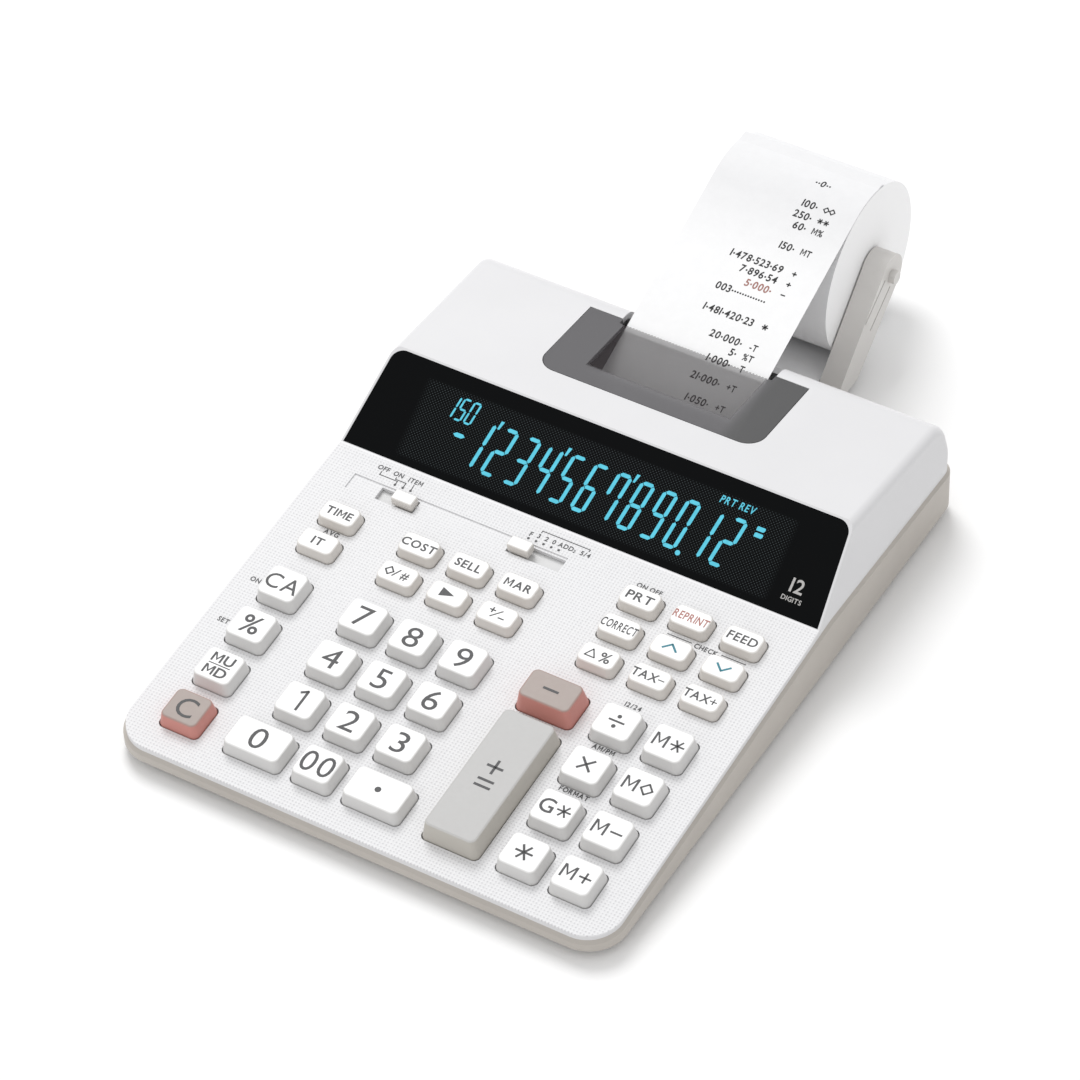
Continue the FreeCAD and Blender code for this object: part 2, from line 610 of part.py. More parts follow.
BAY = ("(cell_length + 2 * cell_gap)", "(4 * cell_diameter + 2 * cell_gap)")
BAY_X = f"(bay_left + {BAY[0]} / 2)"
BAY_V = f"(bay_start + {BAY[1]} / 2)"
ARM_X = "(paper_width / 2 + arm_gap + arm_thickness / 2)"
VENTS = 5
BOSSES = [(f"{sign} * ({HALF} - 7.5)", v) for sign in ("(0 - 1)", "1")
          for v in ("9", "seam_knee - 16", "case_depth - 9")]
FEET = [(f"{sign} * ({HALF} - foot_inset)", v) for sign in ("(0 - 1)", "1")
        for v in ("foot_inset", "case_depth - foot_inset")]


def make_underside():
    """Battery door and the four rubber feet."""
    plate = box("door_plate", LEVEL, f"{BAY[0]} + 2 * door_lap", f"{BAY[1]} + 2 * door_lap",
                "door_thickness", BAY_X, BAY_V, FLOOR)
    grips = [box(f"door_grip_{n}", LEVEL, "16", "0.8", "1", BAY_X, f"{BAY_V} - 20 + {n} * 2", f"{FLOOR} - 0.6")
             for n in range(6)]
    finish(cut("battery_door_solid", plate, grips), "battery_door")
    feet = [rod(f"foot_{index}", "foot_radius", "case_clearance + foot_seat", x, back(v), "0", "z")
            for index, (x, v) in enumerate(FEET)]
    finish(fuse("feet_solids", feet), "rubber_feet")


# ----------------------------------------------------------------------- keys
def column(number):
    return f"(block_shift + {number} * key_pitch)"


LEFT = "left_column"
LARGE_ROWS = [f"(first_row + {n} * row_pitch)" for n in range(4)]
SMALL_ROWS = [f"(small_first + {n} * small_pitch)" for n in range(3)]
LARGE = ("key_width", "key_depth", "key_height")
SMALL = ("small_width", "small_depth", "small_height")
WIDE = ("wide_width", "key_depth", "key_height")
MINUS = ("bar_width", "key_depth", "bar_height")
TOTAL = ("bar_width", "bar_depth", "bar_height")
WIDE_SHIFT = "(wide_width - key_width) / 2"
BAR_X = f"({column(4)} - 5.25)"
TOTAL_V = f"({LARGE_ROWS[0]} + (bar_depth - key_depth) / 2)"

KEYS = [
    ("key_time", SMALL, LEFT, SMALL_ROWS[1]),
    ("key_item", SMALL, LEFT, SMALL_ROWS[0]),
    ("key_clear_all", LARGE, LEFT, LARGE_ROWS[3]),
    ("key_percent", LARGE, LEFT, LARGE_ROWS[2]),
    ("key_markup", LARGE, LEFT, LARGE_ROWS[1]),
    ("key_clear", LARGE, LEFT, LARGE_ROWS[0]),
    ("key_cost", SMALL, column(0), SMALL_ROWS[1]),
    ("key_sell", SMALL, column(1), SMALL_ROWS[1]),
    ("key_margin", SMALL, column(2), SMALL_ROWS[1]),
    ("key_subtotal", SMALL, column(0), SMALL_ROWS[0]),
    ("key_backspace", SMALL, column(1), SMALL_ROWS[0]),
    ("key_sign", SMALL, column(2), SMALL_ROWS[0]),
    ("key_zero", WIDE, f"{column(0)} - {WIDE_SHIFT}", LARGE_ROWS[0]),
    ("key_double_zero", LARGE, column(1), LARGE_ROWS[0]),
    ("key_point", WIDE, f"{column(2)} + {WIDE_SHIFT}", LARGE_ROWS[0]),
    ("key_minus", MINUS, BAR_X, LARGE_ROWS[3]),
    ("key_total", TOTAL, BAR_X, TOTAL_V),
    ("key_print", SMALL, column(4), SMALL_ROWS[2]),
    ("key_reprint", SMALL, column(5), SMALL_ROWS[2]),
    ("key_feed", SMALL, column(6), SMALL_ROWS[2]),
    ("key_correct", SMALL, column(4), SMALL_ROWS[1]),
    ("key_up", SMALL, column(5), SMALL_ROWS[1]),
    ("key_down", SMALL, column(6), SMALL_ROWS[1]),
    ("key_delta", SMALL, column(4), SMALL_ROWS[0]),
    ("key_tax_minus", SMALL, column(5), SMALL_ROWS[0]),
    ("key_tax_plus", SMALL, column(6), SMALL_ROWS[0]),
]
KEYS += [(f"key_digit_{3 * (row - 1) + place + 1}", LARGE, column(place), LARGE_ROWS[row])
         for row in (1, 2, 3) for place in range(3)]
KEYS += [(name, LARGE, column(5), LARGE_ROWS[row]) for row, name in
         enumerate(("key_star", "key_grand_total", "key_multiply", "key_divide"))]
KEYS += [(name, LARGE, column(6), LARGE_ROWS[row]) for row, name in
         enumerate(("key_memory_plus", "key_memory_minus", "key_memory_subtotal", "key_memory_total"))]


def pad(body, name, wide, deep, low, height, taper="0"):
    """Rectangular pad on a body, from a height above its origin plane."""
    sketch = body.newObject("Sketcher::SketchObject", name + "_outline")
    ground = [item for item in body.Origin.OriginFeatures if item.Role == "XY_Plane"][0]
    sketch.AttachmentSupport = [(ground, "")]
    sketch.MapMode = "FlatFace"
    bind(sketch, AttachmentOffset__Base__z=low)
    rectangle(sketch, wide, deep)
    feature = body.newObject("PartDesign::Pad", name)
    feature.Profile = sketch
    bind(feature, Length=height)
    if taper != "0":
        bind(feature, TaperAngle=taper)
    return feature


def make_key(name, form, x, v):
    """Hollow keycap with a tapered top, a straight skirt and a retaining flange."""
    wide, deep, tall = form
    body = doc.addObject("PartDesign::Body", name + "_body")
    pad(body, name + "_flange", f"{wide} + 2 * flange_lip", f"{deep} + 2 * flange_lip",
        FLANGE_LOW, "key_flange")
    pad(body, name + "_skirt", wide, deep, FLANGE_LOW, f"0 - {FLANGE_LOW}")
    pad(body, name + "_cap", wide, deep, "0", tall, "0 - key_draft")
    sketch = body.newObject("Sketcher::SketchObject", name + "_hollow_outline")
    ground = [item for item in body.Origin.OriginFeatures if item.Role == "XY_Plane"][0]
    sketch.AttachmentSupport = [(ground, "")]
    sketch.MapMode = "FlatFace"
    bind(sketch, AttachmentOffset__Base__z=f"{FLANGE_LOW} - 1")
    rectangle(sketch, f"{wide} - 2 * key_wall", f"{deep} - 2 * key_wall")
    hollow = body.newObject("PartDesign::Pocket", name + "_hollow")
    hollow.Profile = sketch
    hollow.Reversed = True
    bind(hollow, Length=f"1 - {FLANGE_LOW} + {CAVITY_TOP}")
    doc.recompute()
    top = value(tall)
    half_wide, half_deep = value(wide) / 2, value(deep) / 2

    def corner(edge):
        spot = middle(edge)
        near = abs(abs(spot.x) - half_wide) < 1.4 and abs(abs(spot.y) - half_deep) < 1.4
        return near and edge.Length > 1.9 and abs(edge.tangentAt(0).z) > 0.9

    round_body(body, name + "_corners", hollow, corner, value("key_corner"))
    round_body(body, name + "_rim", body.Tip, lambda e: middle(e).z > top - 0.01, value("key_edge"))
    DECK.place(body, x, v, "0")
    return finish(body, name)


def round_body(body, name, base, test, radius):
    """Fillet the edges of a body's last feature that pass a test."""
    picked = [f"Edge{number}" for number, edge in enumerate(base.Shape.Edges, start=1) if test(edge)]
    if not picked:
        raise RuntimeError(name + ": no edge to round")
    feature = body.newObject("PartDesign::Fillet", name)
    feature.Base = (base, picked)
    feature.Radius = radius
    doc.recompute()


def key_hole(name, form, x, v):
    """Cutter for a key's hole in the deck."""
    wide, deep, _ = form
    block = box(name + "_hole_block", DECK, f"{wide} + 2 * key_clearance", f"{deep} + 2 * key_clearance",
                "3 * deck_wall", x, v, "0 - 2 * deck_wall")
    doc.recompute([block])
    angle = math.radians(value("deck_tilt"))
    normal = Vector(0, -math.sin(angle), math.cos(angle))
    return round_edges(name + "_hole", block, [
        (value("key_corner"), lambda e: runs_along(e, normal, 1e-5))])


def make_keys():
    return [make_key(*spec) for spec in KEYS]


# --------------------------------------------------------- keypad and display
def make_key_mat():
    """Rubber mat with one dome under each key."""
    sheet_back = "(switch_row - knob_depth / 2 - 2)"
    mat = box("mat_sheet", DECK, f"2 * ({UPPER_HALF} - board_inset)", f"{sheet_back} - board_start", "mat_thickness",
              "0", f"({sheet_back} + board_start) / 2", f"{MAT_TOP} - mat_thickness")
    domes = []
    for name, form, x, v in KEYS:
        dome = doc.addObject("Part::Cone", name + "_dome")
        bind(dome, Radius1="small_depth / 2 - key_wall - 0.5", Radius2="1.6",
             Height=f"{CAVITY_TOP} - key_travel - mat_gap - {MAT_TOP}")
        DECK.place(dome, x, v, MAT_TOP)
        domes.append(dome)
    return finish(fuse("key_mat_solid", [mat] + domes), "key_mat")


def make_main_board():
    """Circuit board under the mat, with its chip and the adaptor socket."""
    low = f"{MAT_TOP} - mat_thickness - board_thickness"
    board_back = "(switch_row + 8)"
    board = box("board_plate", DECK, f"2 * ({UPPER_HALF} - board_inset)", f"{board_back} - board_start", "board_thickness",
                "0", f"({board_back} + board_start) / 2", low)
    chip = box("board_chip", DECK, "chip_width", "chip_depth", "1.4", "chip_x", f"{board_back} - 4",
               f"{low} + board_thickness")
    posts = []
    for name, x, travel in (("power", "power_knob_x - power_travel / 2", "power_travel"),
                            ("decimal", "decimal_knob_x + decimal_travel / 2", "decimal_travel")):
        posts.append(box(name + "_contacts", DECK, f"{travel} + 6", "3.2",
                         f"{STEM_LOW} - 0.2 - ({low} + board_thickness)",
                         x, "switch_row", f"{low} + board_thickness"))
    shell = box("jack_body", LEVEL, "jack_width", "jack_length + 2", "jack_tall", "jack_x",
                "case_depth - case_wall - (jack_length + 2) / 2", "jack_height - jack_tall / 2")
    bore = rod("jack_bore", "jack_radius", "jack_length + 1", "jack_x",
               back("case_depth - case_wall - jack_length"), "jack_height", "y")
    pin = rod("jack_pin", "jack_pin", "jack_length", "jack_x",
              back("case_depth - case_wall - jack_length"), "jack_height", "y")
    plate = box("jack_board", LEVEL, "24", "16", "1.2", "jack_x",
                "case_depth - case_wall - 8", "jack_height - jack_tall / 2 - 1.2")
    jack = fuse("jack_solid", [cut("jack_shell", shell, [bore]), pin, plate])
    return finish(fuse("main_board_solids", [fuse("board_solid", [board, chip] + posts), jack]), "main_board")


def make_display():
    """Smoked window and the display glass behind it."""
    window = window_block("window_plate", "0", "window_thickness")
    finish(window, "display_window")
    glass = box("display_glass", PANEL, "glass_width", "glass_depth", "glass_thickness",
                "0", "panel_length / 2", "0 - glass_thickness - case_wall - 1.2")
    rim = box("display_rim", PANEL, "glass_width + 4", "glass_depth + 3", "1.6",
              "0", "panel_length / 2", "0 - glass_thickness - case_wall - 1.2")
    finish(fuse("display_solid", [glass, rim]), "display_module")


def make_switches():
    """Two slide knobs, each with a stem that goes down through its slot."""
    for name, x in (("power_switch_knob", "power_knob_x"), ("decimal_switch_knob", "decimal_knob_x")):
        head = box(name + "_head", DECK, "knob_width", "knob_depth", "knob_height + groove_depth - 0.1",
                   x, "switch_row", "0.1 - groove_depth")
        doc.recompute()
        top = head.Shape.BoundBox.ZMax
        head = round_edges(name + "_soft", head, [
            (value("knob_edge"), lambda e: middle(e).z > top - value("knob_height") * 0.75)])
        stem = box(name + "_stem", DECK, "knob_width - 2.4", "knob_depth - 1.6", "stem_length + 0.6",
                   x, "switch_row", STEM_LOW)
        finish(fuse(name + "_solid", [head, stem]), name)


# -------------------------------------------------------------------- printer
def make_printer_cover():
    """Smoked cover with two tabs and a toothed tear edge between them."""
    plate = cover_block("cover", "0", "cover_thickness", "0 - cover_thickness", "1")
    edge_v = "cover_start + cover_length - tear_step"
    step = box("tear_notch", TOP, "tear_width", "2 * tear_step", "2 * cover_thickness + 4",
               "0", f"{edge_v} + tear_step", "0 - 2 * cover_thickness")
    pitch = value("tooth_pitch")
    count = int(value("tear_width") // pitch) - 1
    teeth = []
    for number in range(count):
        tooth = doc.addObject("Part::Prism", f"tooth_{number}")
        tooth.Polygon = 3
        bind(tooth, Circumradius="tooth_radius", Height="2 * cover_thickness")
        offset = (number - (count - 1) / 2) * pitch
        TOP.place(tooth, str(offset), edge_v, "0 - 1.5 * cover_thickness")
        tooth.Placement.Rotation = tooth.Placement.Rotation.multiply(Rotation(Vector(0, 0, 1), 30))
        tooth.setExpression("Placement.Rotation.Angle", None)
        teeth.append(tooth)
    pins = cover_pins("cover_pins", "pin_radius", "pin_length")
    finish(fuse("printer_cover_solid", [cut("toothed_plate", plate, [step] + teeth), pins]), "printer_cover")


WHEEL_REACH = "(platen_radius + wheel_radius + paper_thickness + 2 * paper_gap + 0.4)"
WHEEL_BACK = f"(platen_depth - {WHEEL_REACH} * cos(50deg))"
WHEEL_HEIGHT = f"(platen_height + {WHEEL_REACH} * sin(50deg))"


def make_printer():
    """Printer frame, feed roller and print wheel."""
    plates = []
    outer = "(frame_half + frame_plate)"
    for name, x in (("left", "0 - frame_half - frame_plate / 2"), ("right", "frame_half + frame_plate / 2")):
        plates.append(box(f"frame_{name}", LEVEL, "frame_plate", "frame_length", "frame_height",
                          x, "platen_depth + frame_shift", "frame_low"))
    plates.append(box("frame_base", LEVEL, f"2 * {outer}", "frame_length", "frame_plate",
                      "0", "platen_depth + frame_shift", "frame_low"))
    plates.append(box("frame_bar", LEVEL, "2 * frame_half", "2 * frame_plate", "9",
                      "0", "platen_depth + frame_shift - frame_length / 2 + frame_plate", "frame_low + frame_plate / 2"))
    motor = rod("print_motor", "motor_radius", "motor_length", outer, back("platen_depth + motor_back"), "motor_height")
    body = fuse("frame_body", plates + [motor])
    bores = [rod("platen_bore", "shaft_radius + shaft_gap", "100", "0 - 50", back("platen_depth"), "platen_height"),
             rod("wheel_bore", "shaft_radius + shaft_gap", "100", "0 - 50", back(WHEEL_BACK), WHEEL_HEIGHT)]
    relief = box("motor_relief", LEVEL, "2 * frame_half", "frame_length", "frame_height",
                 "0", "platen_depth + frame_shift + frame_plate * 3", "frame_low + frame_plate")
    finish(cut("printer_frame_solid", body, bores + [relief]), "printer_frame")

    side_gap = "0.5"
    for name, radius, depth, height in (
            ("feed_roller", "platen_radius", "platen_depth", "platen_height"),
            ("print_wheel", "wheel_radius", WHEEL_BACK, WHEEL_HEIGHT)):
        barrel = rod(name + "_barrel", radius, f"2 * (frame_half - {side_gap})",
                     f"{side_gap} - frame_half", back(depth), height)
        shaft = rod(name + "_shaft", "shaft_radius", f"2 * {outer} + 3", f"0 - {outer} - 1.5", back(depth), height)
        flat = box(name + "_flat", LEVEL, "1.5", "3", "1", f"{outer} + 0.75", depth, f"{height} + 1")
        finish(cut(name + "_solid", fuse(name + "_turned", [barrel, shaft]), [flat]), name)


# ------------------------------------------------------------- roll and paper
def make_roll_holder():
    """U-shaped holder: two elbowed arms with hubs, joined low down by a bar."""
    pieces, slits = [], []
    reach_back = "(slit_length + 3)"
    angle = math.degrees(math.atan2(value("hub_height - elbow_height"), value("hub_back - elbow_back")))
    head = f"arm_head * sin({angle} * 1deg)", f"arm_head * cos({angle} * 1deg)"
    outline = [
        (REAR, "foot_low"), (f"{REAR} + heel_back", "foot_low"),
        (f"{AXIS_Y} + {head[0]}", f"hub_height - {head[1]}"),
        (f"{AXIS_Y} - {head[0]}", f"hub_height + {head[1]}"),
        (f"{REAR} + elbow_back", "elbow_height"),
        (f"{REAR} + elbow_back / 2", "foot_low + foot_height - 2"), (REAR, "foot_low + foot_height"),
    ]
    for name, inner, sign in (("left", f"0 - {ARM_X} - arm_thickness / 2", "0 - 1"),
                              ("right", f"{ARM_X} - arm_thickness / 2", "1")):
        pieces.append(prism(f"arm_{name}", "side", outline, "arm_thickness", inner))
        pieces.append(rod(f"arm_head_{name}", "arm_head", "arm_thickness", inner, AXIS_Y, "hub_height"))
        face = f"({sign}) * ({ARM_X} - arm_thickness / 2)"
        reach = f"(arm_gap + hub_length)"
        start = f"{face} - {reach}" if name == "right" else face
        pieces.append(rod(f"hub_{name}", "hub_radius", reach, start, AXIS_Y, "hub_height"))
        tip = f"{ARM_X} + arm_thickness / 2" if name == "right" else f"0 - {ARM_X} - arm_thickness / 2 - knob_length"
        pieces.append(rod(f"hub_knob_{name}", "knob_radius", "knob_length", tip, AXIS_Y, "hub_height"))
        pieces.append(box(f"arm_tongue_{name}", LEVEL, "arm_thickness - 2", "case_wall", "foot_height - 4",
                          f"({sign}) * ({ARM_X})", "case_depth - case_wall / 2", "foot_low + 2"))
        for number, shift in enumerate(("0 - slit_spread", "slit_spread")):
            slit = doc.addObject("Part::Box", f"slit_{name}_{number}")
            bind(slit, Length="arm_thickness + 2", Width="slit_length", Height="tongue_slit")
            slit.Placement = Placement(Vector(), Rotation(Vector(1, 0, 0), angle))
            bind(slit, Placement__Base__x=f"{inner} - 1",
                 Placement__Base__y=f"{AXIS_Y} - {reach_back} * cos({angle} * 1deg) - ({shift}) * sin({angle} * 1deg)",
                 Placement__Base__z=f"hub_height - {reach_back} * sin({angle} * 1deg) + ({shift}) * cos({angle} * 1deg)")
            slits.append(slit)
    pieces.append(box("holder_bar", LEVEL, f"2 * {ARM_X}", "bar_length", "bar_thickness",
                      "0", "case_depth + bar_back", "foot_low"))
    finish(cut("roll_holder_solid", fuse("holder_body", pieces), slits), "roll_holder")


def make_roll():
    """Paper roll on its core."""
    disc = rod("roll_disc", "roll_radius", "paper_width", "0 - paper_width / 2", AXIS_Y, "hub_height")
    bore = rod("roll_bore", "core_radius", "paper_width + 2", "0 - paper_width / 2 - 1", AXIS_Y, "hub_height")
    finish(cut("paper_roll_solid", disc, [bore]), "paper_roll")


def tangent_point(start, centre, radius, side):
    """Where a line from a point touches a circle, above it (side 1) or below it (side -1)."""
    reach = centre.sub(start)
    angle = math.atan2(reach.z, reach.y) + side * math.asin(radius / reach.Length)
    run = math.sqrt(reach.Length ** 2 - radius ** 2)
    return start.add(Vector(0, run * math.cos(angle), run * math.sin(angle)))


def make_paper():
    """The paper's whole way: off the roll, round the feed roller and out over the roll."""
    half = value("paper_thickness") / 2
    clear = value("paper_gap") + half
    platen = Vector(0, value(back("platen_depth")), value("platen_height"))
    wrap = value("platen_radius") + clear
    roll = Vector(0, value(AXIS_Y), value("hub_height"))
    orbit = value("roll_radius") + clear
    low = platen.add(Vector(0, 0, -wrap))
    slot = Vector(0, value(REAR) + 1.0, low.z)
    web_end = tangent_point(slot, roll, orbit, -1)

    # The exit line touches both the feed roller and the roll on their upper sides.
    gap = roll.sub(platen)
    slope = math.atan2(gap.z, gap.y) + math.asin((orbit - wrap) / gap.Length)
    up = Vector(0, -math.sin(slope), math.cos(slope))
    leave = platen.add(up * wrap)
    touch = roll.add(up * orbit)
    curl = math.radians(value("tail_curl"))
    crest = roll.add(Vector(0, math.sin((curl - slope) / 2), math.cos((curl - slope) / 2)) * orbit)
    end = roll.add(Vector(0, math.sin(curl), math.cos(curl)) * orbit)
    tail = end.add(Vector(0, math.cos(curl), -math.sin(curl) + 0.25) * value("tail_length"))
    around = platen.add(Vector(0, -wrap, 0))
    path = Part.Wire([
        Part.LineSegment(web_end, slot).toShape(), Part.LineSegment(slot, low).toShape(),
        Part.Arc(low, around, leave).toShape(), Part.LineSegment(leave, touch).toShape(),
        Part.Arc(touch, crest, end).toShape(), Part.LineSegment(end, tail).toShape()])
    face = path.makeOffset2D(half, 0, True, True, False)
    paper = doc.addObject("Part::Feature", "paper_strip_solid")
    paper.Shape = face.extrude(Vector(value("paper_width"), 0, 0))
    paper.Placement = Placement(Vector(-value("paper_width") / 2, 0, 0), Rotation())
    finish(paper, "paper_strip")


make_underside()
make_lower_case()
make_upper_case([key_hole(*spec) for spec in KEYS])
make_keys()
make_key_mat()
make_main_board()
make_display()
make_switches()
make_printer_cover()
make_printer()
make_roll_holder()
make_roll()
make_paper()
doc.recompute()

for item in doc.Objects:
    if "Invalid" in item.State or "Error" in item.State:
        raise RuntimeError(f"{item.Name} failed: {item.State}")
os.makedirs("parts", exist_ok=True)
for piece in PARTS:
    if piece.Shape.isNull() or not piece.Shape.isValid() or not piece.Shape.Solids:
        raise RuntimeError(piece.Label + " has no sound shape")
    piece.Shape.exportStep(os.path.join("parts", piece.Label + ".step"))
print(len(PARTS), "parts")
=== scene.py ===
# A printing desk calculator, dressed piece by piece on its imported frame.
# Metres; +X to the user's right, +Y to the rear, +Z up, with the desk at z = 0.
import math

import bmesh
import bpy
from mathutils import Euler, Matrix, Vector
from mathutils.bvhtree import BVHTree


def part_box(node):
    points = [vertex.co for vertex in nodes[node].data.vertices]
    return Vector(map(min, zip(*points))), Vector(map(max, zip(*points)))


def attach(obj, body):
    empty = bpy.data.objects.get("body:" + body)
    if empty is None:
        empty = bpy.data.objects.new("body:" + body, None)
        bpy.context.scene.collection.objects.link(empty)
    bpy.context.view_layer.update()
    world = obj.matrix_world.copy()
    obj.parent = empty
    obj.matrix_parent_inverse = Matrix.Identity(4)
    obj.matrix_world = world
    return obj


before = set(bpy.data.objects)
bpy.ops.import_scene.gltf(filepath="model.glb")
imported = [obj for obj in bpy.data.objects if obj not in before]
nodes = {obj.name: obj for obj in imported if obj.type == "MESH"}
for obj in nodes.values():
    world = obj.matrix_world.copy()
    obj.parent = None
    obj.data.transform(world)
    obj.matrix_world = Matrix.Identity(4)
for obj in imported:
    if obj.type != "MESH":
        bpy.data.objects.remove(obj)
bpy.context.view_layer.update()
MM = 0.001


# The lower tray: taupe ABS, injection moulded, with a bevel along its upper edge and a fine
# spark-eroded grain that takes the shine off it. The battery door comes from the same moulding
# shop and has the same finish.
class Wire:
    """A socket in a finish's node tree; sums on it add their own Math nodes."""

    def __init__(self, tree, socket=None):
        self.tree, self.socket = tree, socket

    def node(self, kind, settings=(), inputs=(), out=0):
        """Any node: its settings come first, then the values or links of its sockets."""
        made = self.tree.nodes.new("ShaderNode" + kind)
        for name, setting in dict(settings).items():
            setattr(made, name, setting)
        for name, given in dict(inputs).items():
            if isinstance(given, Wire):
                self.tree.links.new(given.socket, made.inputs[name])
            else:
                made.inputs[name].default_value = given
        return Wire(self.tree, made.outputs[out])

    def maths(self, operation, *given):
        return self.node("Math", {"operation": operation}, dict(enumerate(given)))

    def through(self, operation):
        """This wire through a Math node that takes one value."""
        return self.maths(operation, self)

    def __add__(self, other):
        return self.maths("ADD", self, other)

    __radd__ = __add__

    def __mul__(self, other):
        return self.maths("MULTIPLY", self, other)

    __rmul__ = __mul__

    def __sub__(self, other):
        return self.maths("SUBTRACT", self, other)

    def __rsub__(self, other):
        return self.maths("SUBTRACT", other, self)

    def soft_step(self, start, end):
        """0 before start, 1 after end and smooth between them."""
        return self.node("MapRange", {"interpolation_type": "SMOOTHSTEP"},
                         {"Value": self, "From Min": start, "From Max": end})

    def blend(self, low, high):
        """The colour low where this is 0, and the colour high where it is 1."""
        shades = {6 + i: (*shade, 1) if isinstance(shade, tuple) else shade
                  for i, shade in enumerate((low, high))}
        return self.node("Mix", {"data_type": "RGBA"}, {0: self, **shades}, out=2)

    def noise(self, scale, detail=2.0, roughness=0.5):
        """Noise in the piece's own place, with a scale in waves a metre."""
        place = self.node("TexCoord", out=3)
        return self.node("TexNoise", {}, {"Vector": place, "Scale": scale, "Detail": detail,
                                          "Roughness": roughness})

    def spot(self):
        """The piece's own x, y and z."""
        apart = self.node("SeparateXYZ", {}, {0: self.node("TexCoord", out=3)})
        return [Wire(self.tree, out) for out in apart.socket.node.outputs]


def new_finish(name, **plain):
    """A material with its uniform numbers set on the shader, and a wire to build from."""
    material = bpy.data.materials.new(name)
    material.use_nodes = True
    shader = material.node_tree.nodes["Principled BSDF"]
    for socket, number in plain.items():
        shader.inputs[socket.replace("_", " ")].default_value = number
    return material, shader, Wire(material.node_tree)


def feed(shader, **wires):
    for socket, wire in wires.items():
        wire.tree.links.new(wire.socket, shader.inputs[socket.replace("_", " ")])


def moulding(name, low, high, rough=0.45, cloud=25.0, grain=2600.0, depth=0.00002, **plain):
    """Moulded plastic: a slightly cloudy colour, uneven shine and a fine grain."""
    material, shader, wire = new_finish(name, **plain)
    cloud_noise = wire.noise(cloud, 3.0)
    fine = wire.noise(grain, 2.0, 0.6)
    feed(shader,
         Base_Color=cloud_noise.soft_step(0.3, 0.7).blend(low, high),
         Roughness=rough + (wire.noise(cloud * 7, 4.0) - 0.5) * 0.12,
         Normal=wire.node("Bump", {}, {"Height": fine, "Distance": depth, "Strength": 0.5}))
    return material


def dress(material, *names):
    for name in names:
        mesh = nodes[name].data
        for place in range(max(1, len(mesh.materials))):
            if place < len(mesh.materials):
                mesh.materials[place] = material
            else:
                mesh.materials.append(material)


taupe = moulding("taupe_abs", (0.470, 0.437, 0.400), (0.500, 0.466, 0.426), rough=0.5)
dress(taupe, "lower_case", "battery_door")


# Under the tray: four soft rubber feet glued into their seats, and six self-tapping screws that
# hold the two shells together. The screws are plated steel with a cross recess.
def into_scene(name, mesh, material, body):
    piece = bpy.data.objects.new(name, mesh)
    bpy.context.scene.collection.objects.link(piece)
    mesh.materials.append(material)
    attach(piece, body)
    return piece


dress(moulding("foot_rubber", (0.040, 0.040, 0.042), (0.052, 0.051, 0.050), rough=0.8,
               grain=1500.0, depth=0.00005), "rubber_feet")

tray_low, tray_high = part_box("lower_case")
SCREW_INSET, SCREW_END, SCREW_MIDDLE = 7.5 * MM, 9 * MM, 139 * MM
SCREW_X = tray_high.x - SCREW_INSET
SCREW_YS = [tray_low.y + SCREW_END, tray_low.y + SCREW_MIDDLE, tray_high.y - SCREW_END]
SCREW_SIDES = 32


def finished(work, name):
    """The mesh that a piece of bmesh work ends as."""
    mesh = bpy.data.meshes.new(name)
    work.to_mesh(mesh)
    work.free()
    return mesh


def head_row(work, radii, x, y, z):
    """A closed row of points about an axis, one for each radius in millimetres."""
    turns = [turn * math.tau / SCREW_SIDES for turn in range(SCREW_SIDES)]
    return [work.verts.new((x + radius * MM * math.cos(turn), y + radius * MM * math.sin(turn), z))
            for radius, turn in zip(radii, turns)]


def screw_mesh(x, y, z):
    """A shallow domed head with a cross sunk in it, facing down."""
    work = bmesh.new()
    rows = [([radius] * SCREW_SIDES, drop)
            for radius, drop in ((2.6, 0.0), (2.6, 0.35), (2.2, 0.8), (1.5, 1.0))]
    # The cross: four arms with upright walls, sunk most of the way into the head.
    cross = [0.35 if turn % 8 in (2, 3, 4, 5, 6) else 1.3 for turn in range(SCREW_SIDES)]
    rows += [(cross, 1.02), (cross, 0.3)]
    loops = [head_row(work, radii, x, y, z - drop * MM) for radii, drop in rows]
    for upper, lower in zip(loops, loops[1:]):
        for turn in range(SCREW_SIDES):
            after = (turn + 1) % SCREW_SIDES
            work.faces.new((upper[turn], upper[after], lower[after], lower[turn]))
    work.faces.new(loops[-1])
    return finished(work, "screw")


steel, steel_shader, steel_wire = new_finish("plated_steel", Metallic=1.0)
feed(steel_shader,
     Base_Color=steel_wire.noise(900.0).soft_step(0.3, 0.7).blend((0.42, 0.42, 0.43),
                                                                  (0.55, 0.55, 0.55)),
     Roughness=0.3 + steel_wire.noise(2500.0) * 0.2)
for side in (-1, 1):
    for row, screw_y in enumerate(SCREW_YS):
        into_scene(f"case_screw_{'left' if side < 0 else 'right'}_{row}",
                   screw_mesh(side * SCREW_X, screw_y, tray_low.z), steel, "case")


# The upper shell: white ABS. The key deck carries a fine woven grain that is etched into the
# mould, while the display panel, the cover and the sides are left almost smooth.
DECK_TILT = math.radians(5.65)
DECK_FRONT = 10.35
PANEL_START = 147.2
deck_origin = Vector((0, tray_low.y, DECK_FRONT * MM))
deck_up = Vector((0, math.cos(DECK_TILT), math.sin(DECK_TILT)))
deck_out = Vector((0, -math.sin(DECK_TILT), math.cos(DECK_TILT)))
WEAVE = 1.25 * MM


def wave(place, pitch):
    """A sine that comes round once in each pitch."""
    return (place * (math.tau / pitch)).through("SINE")


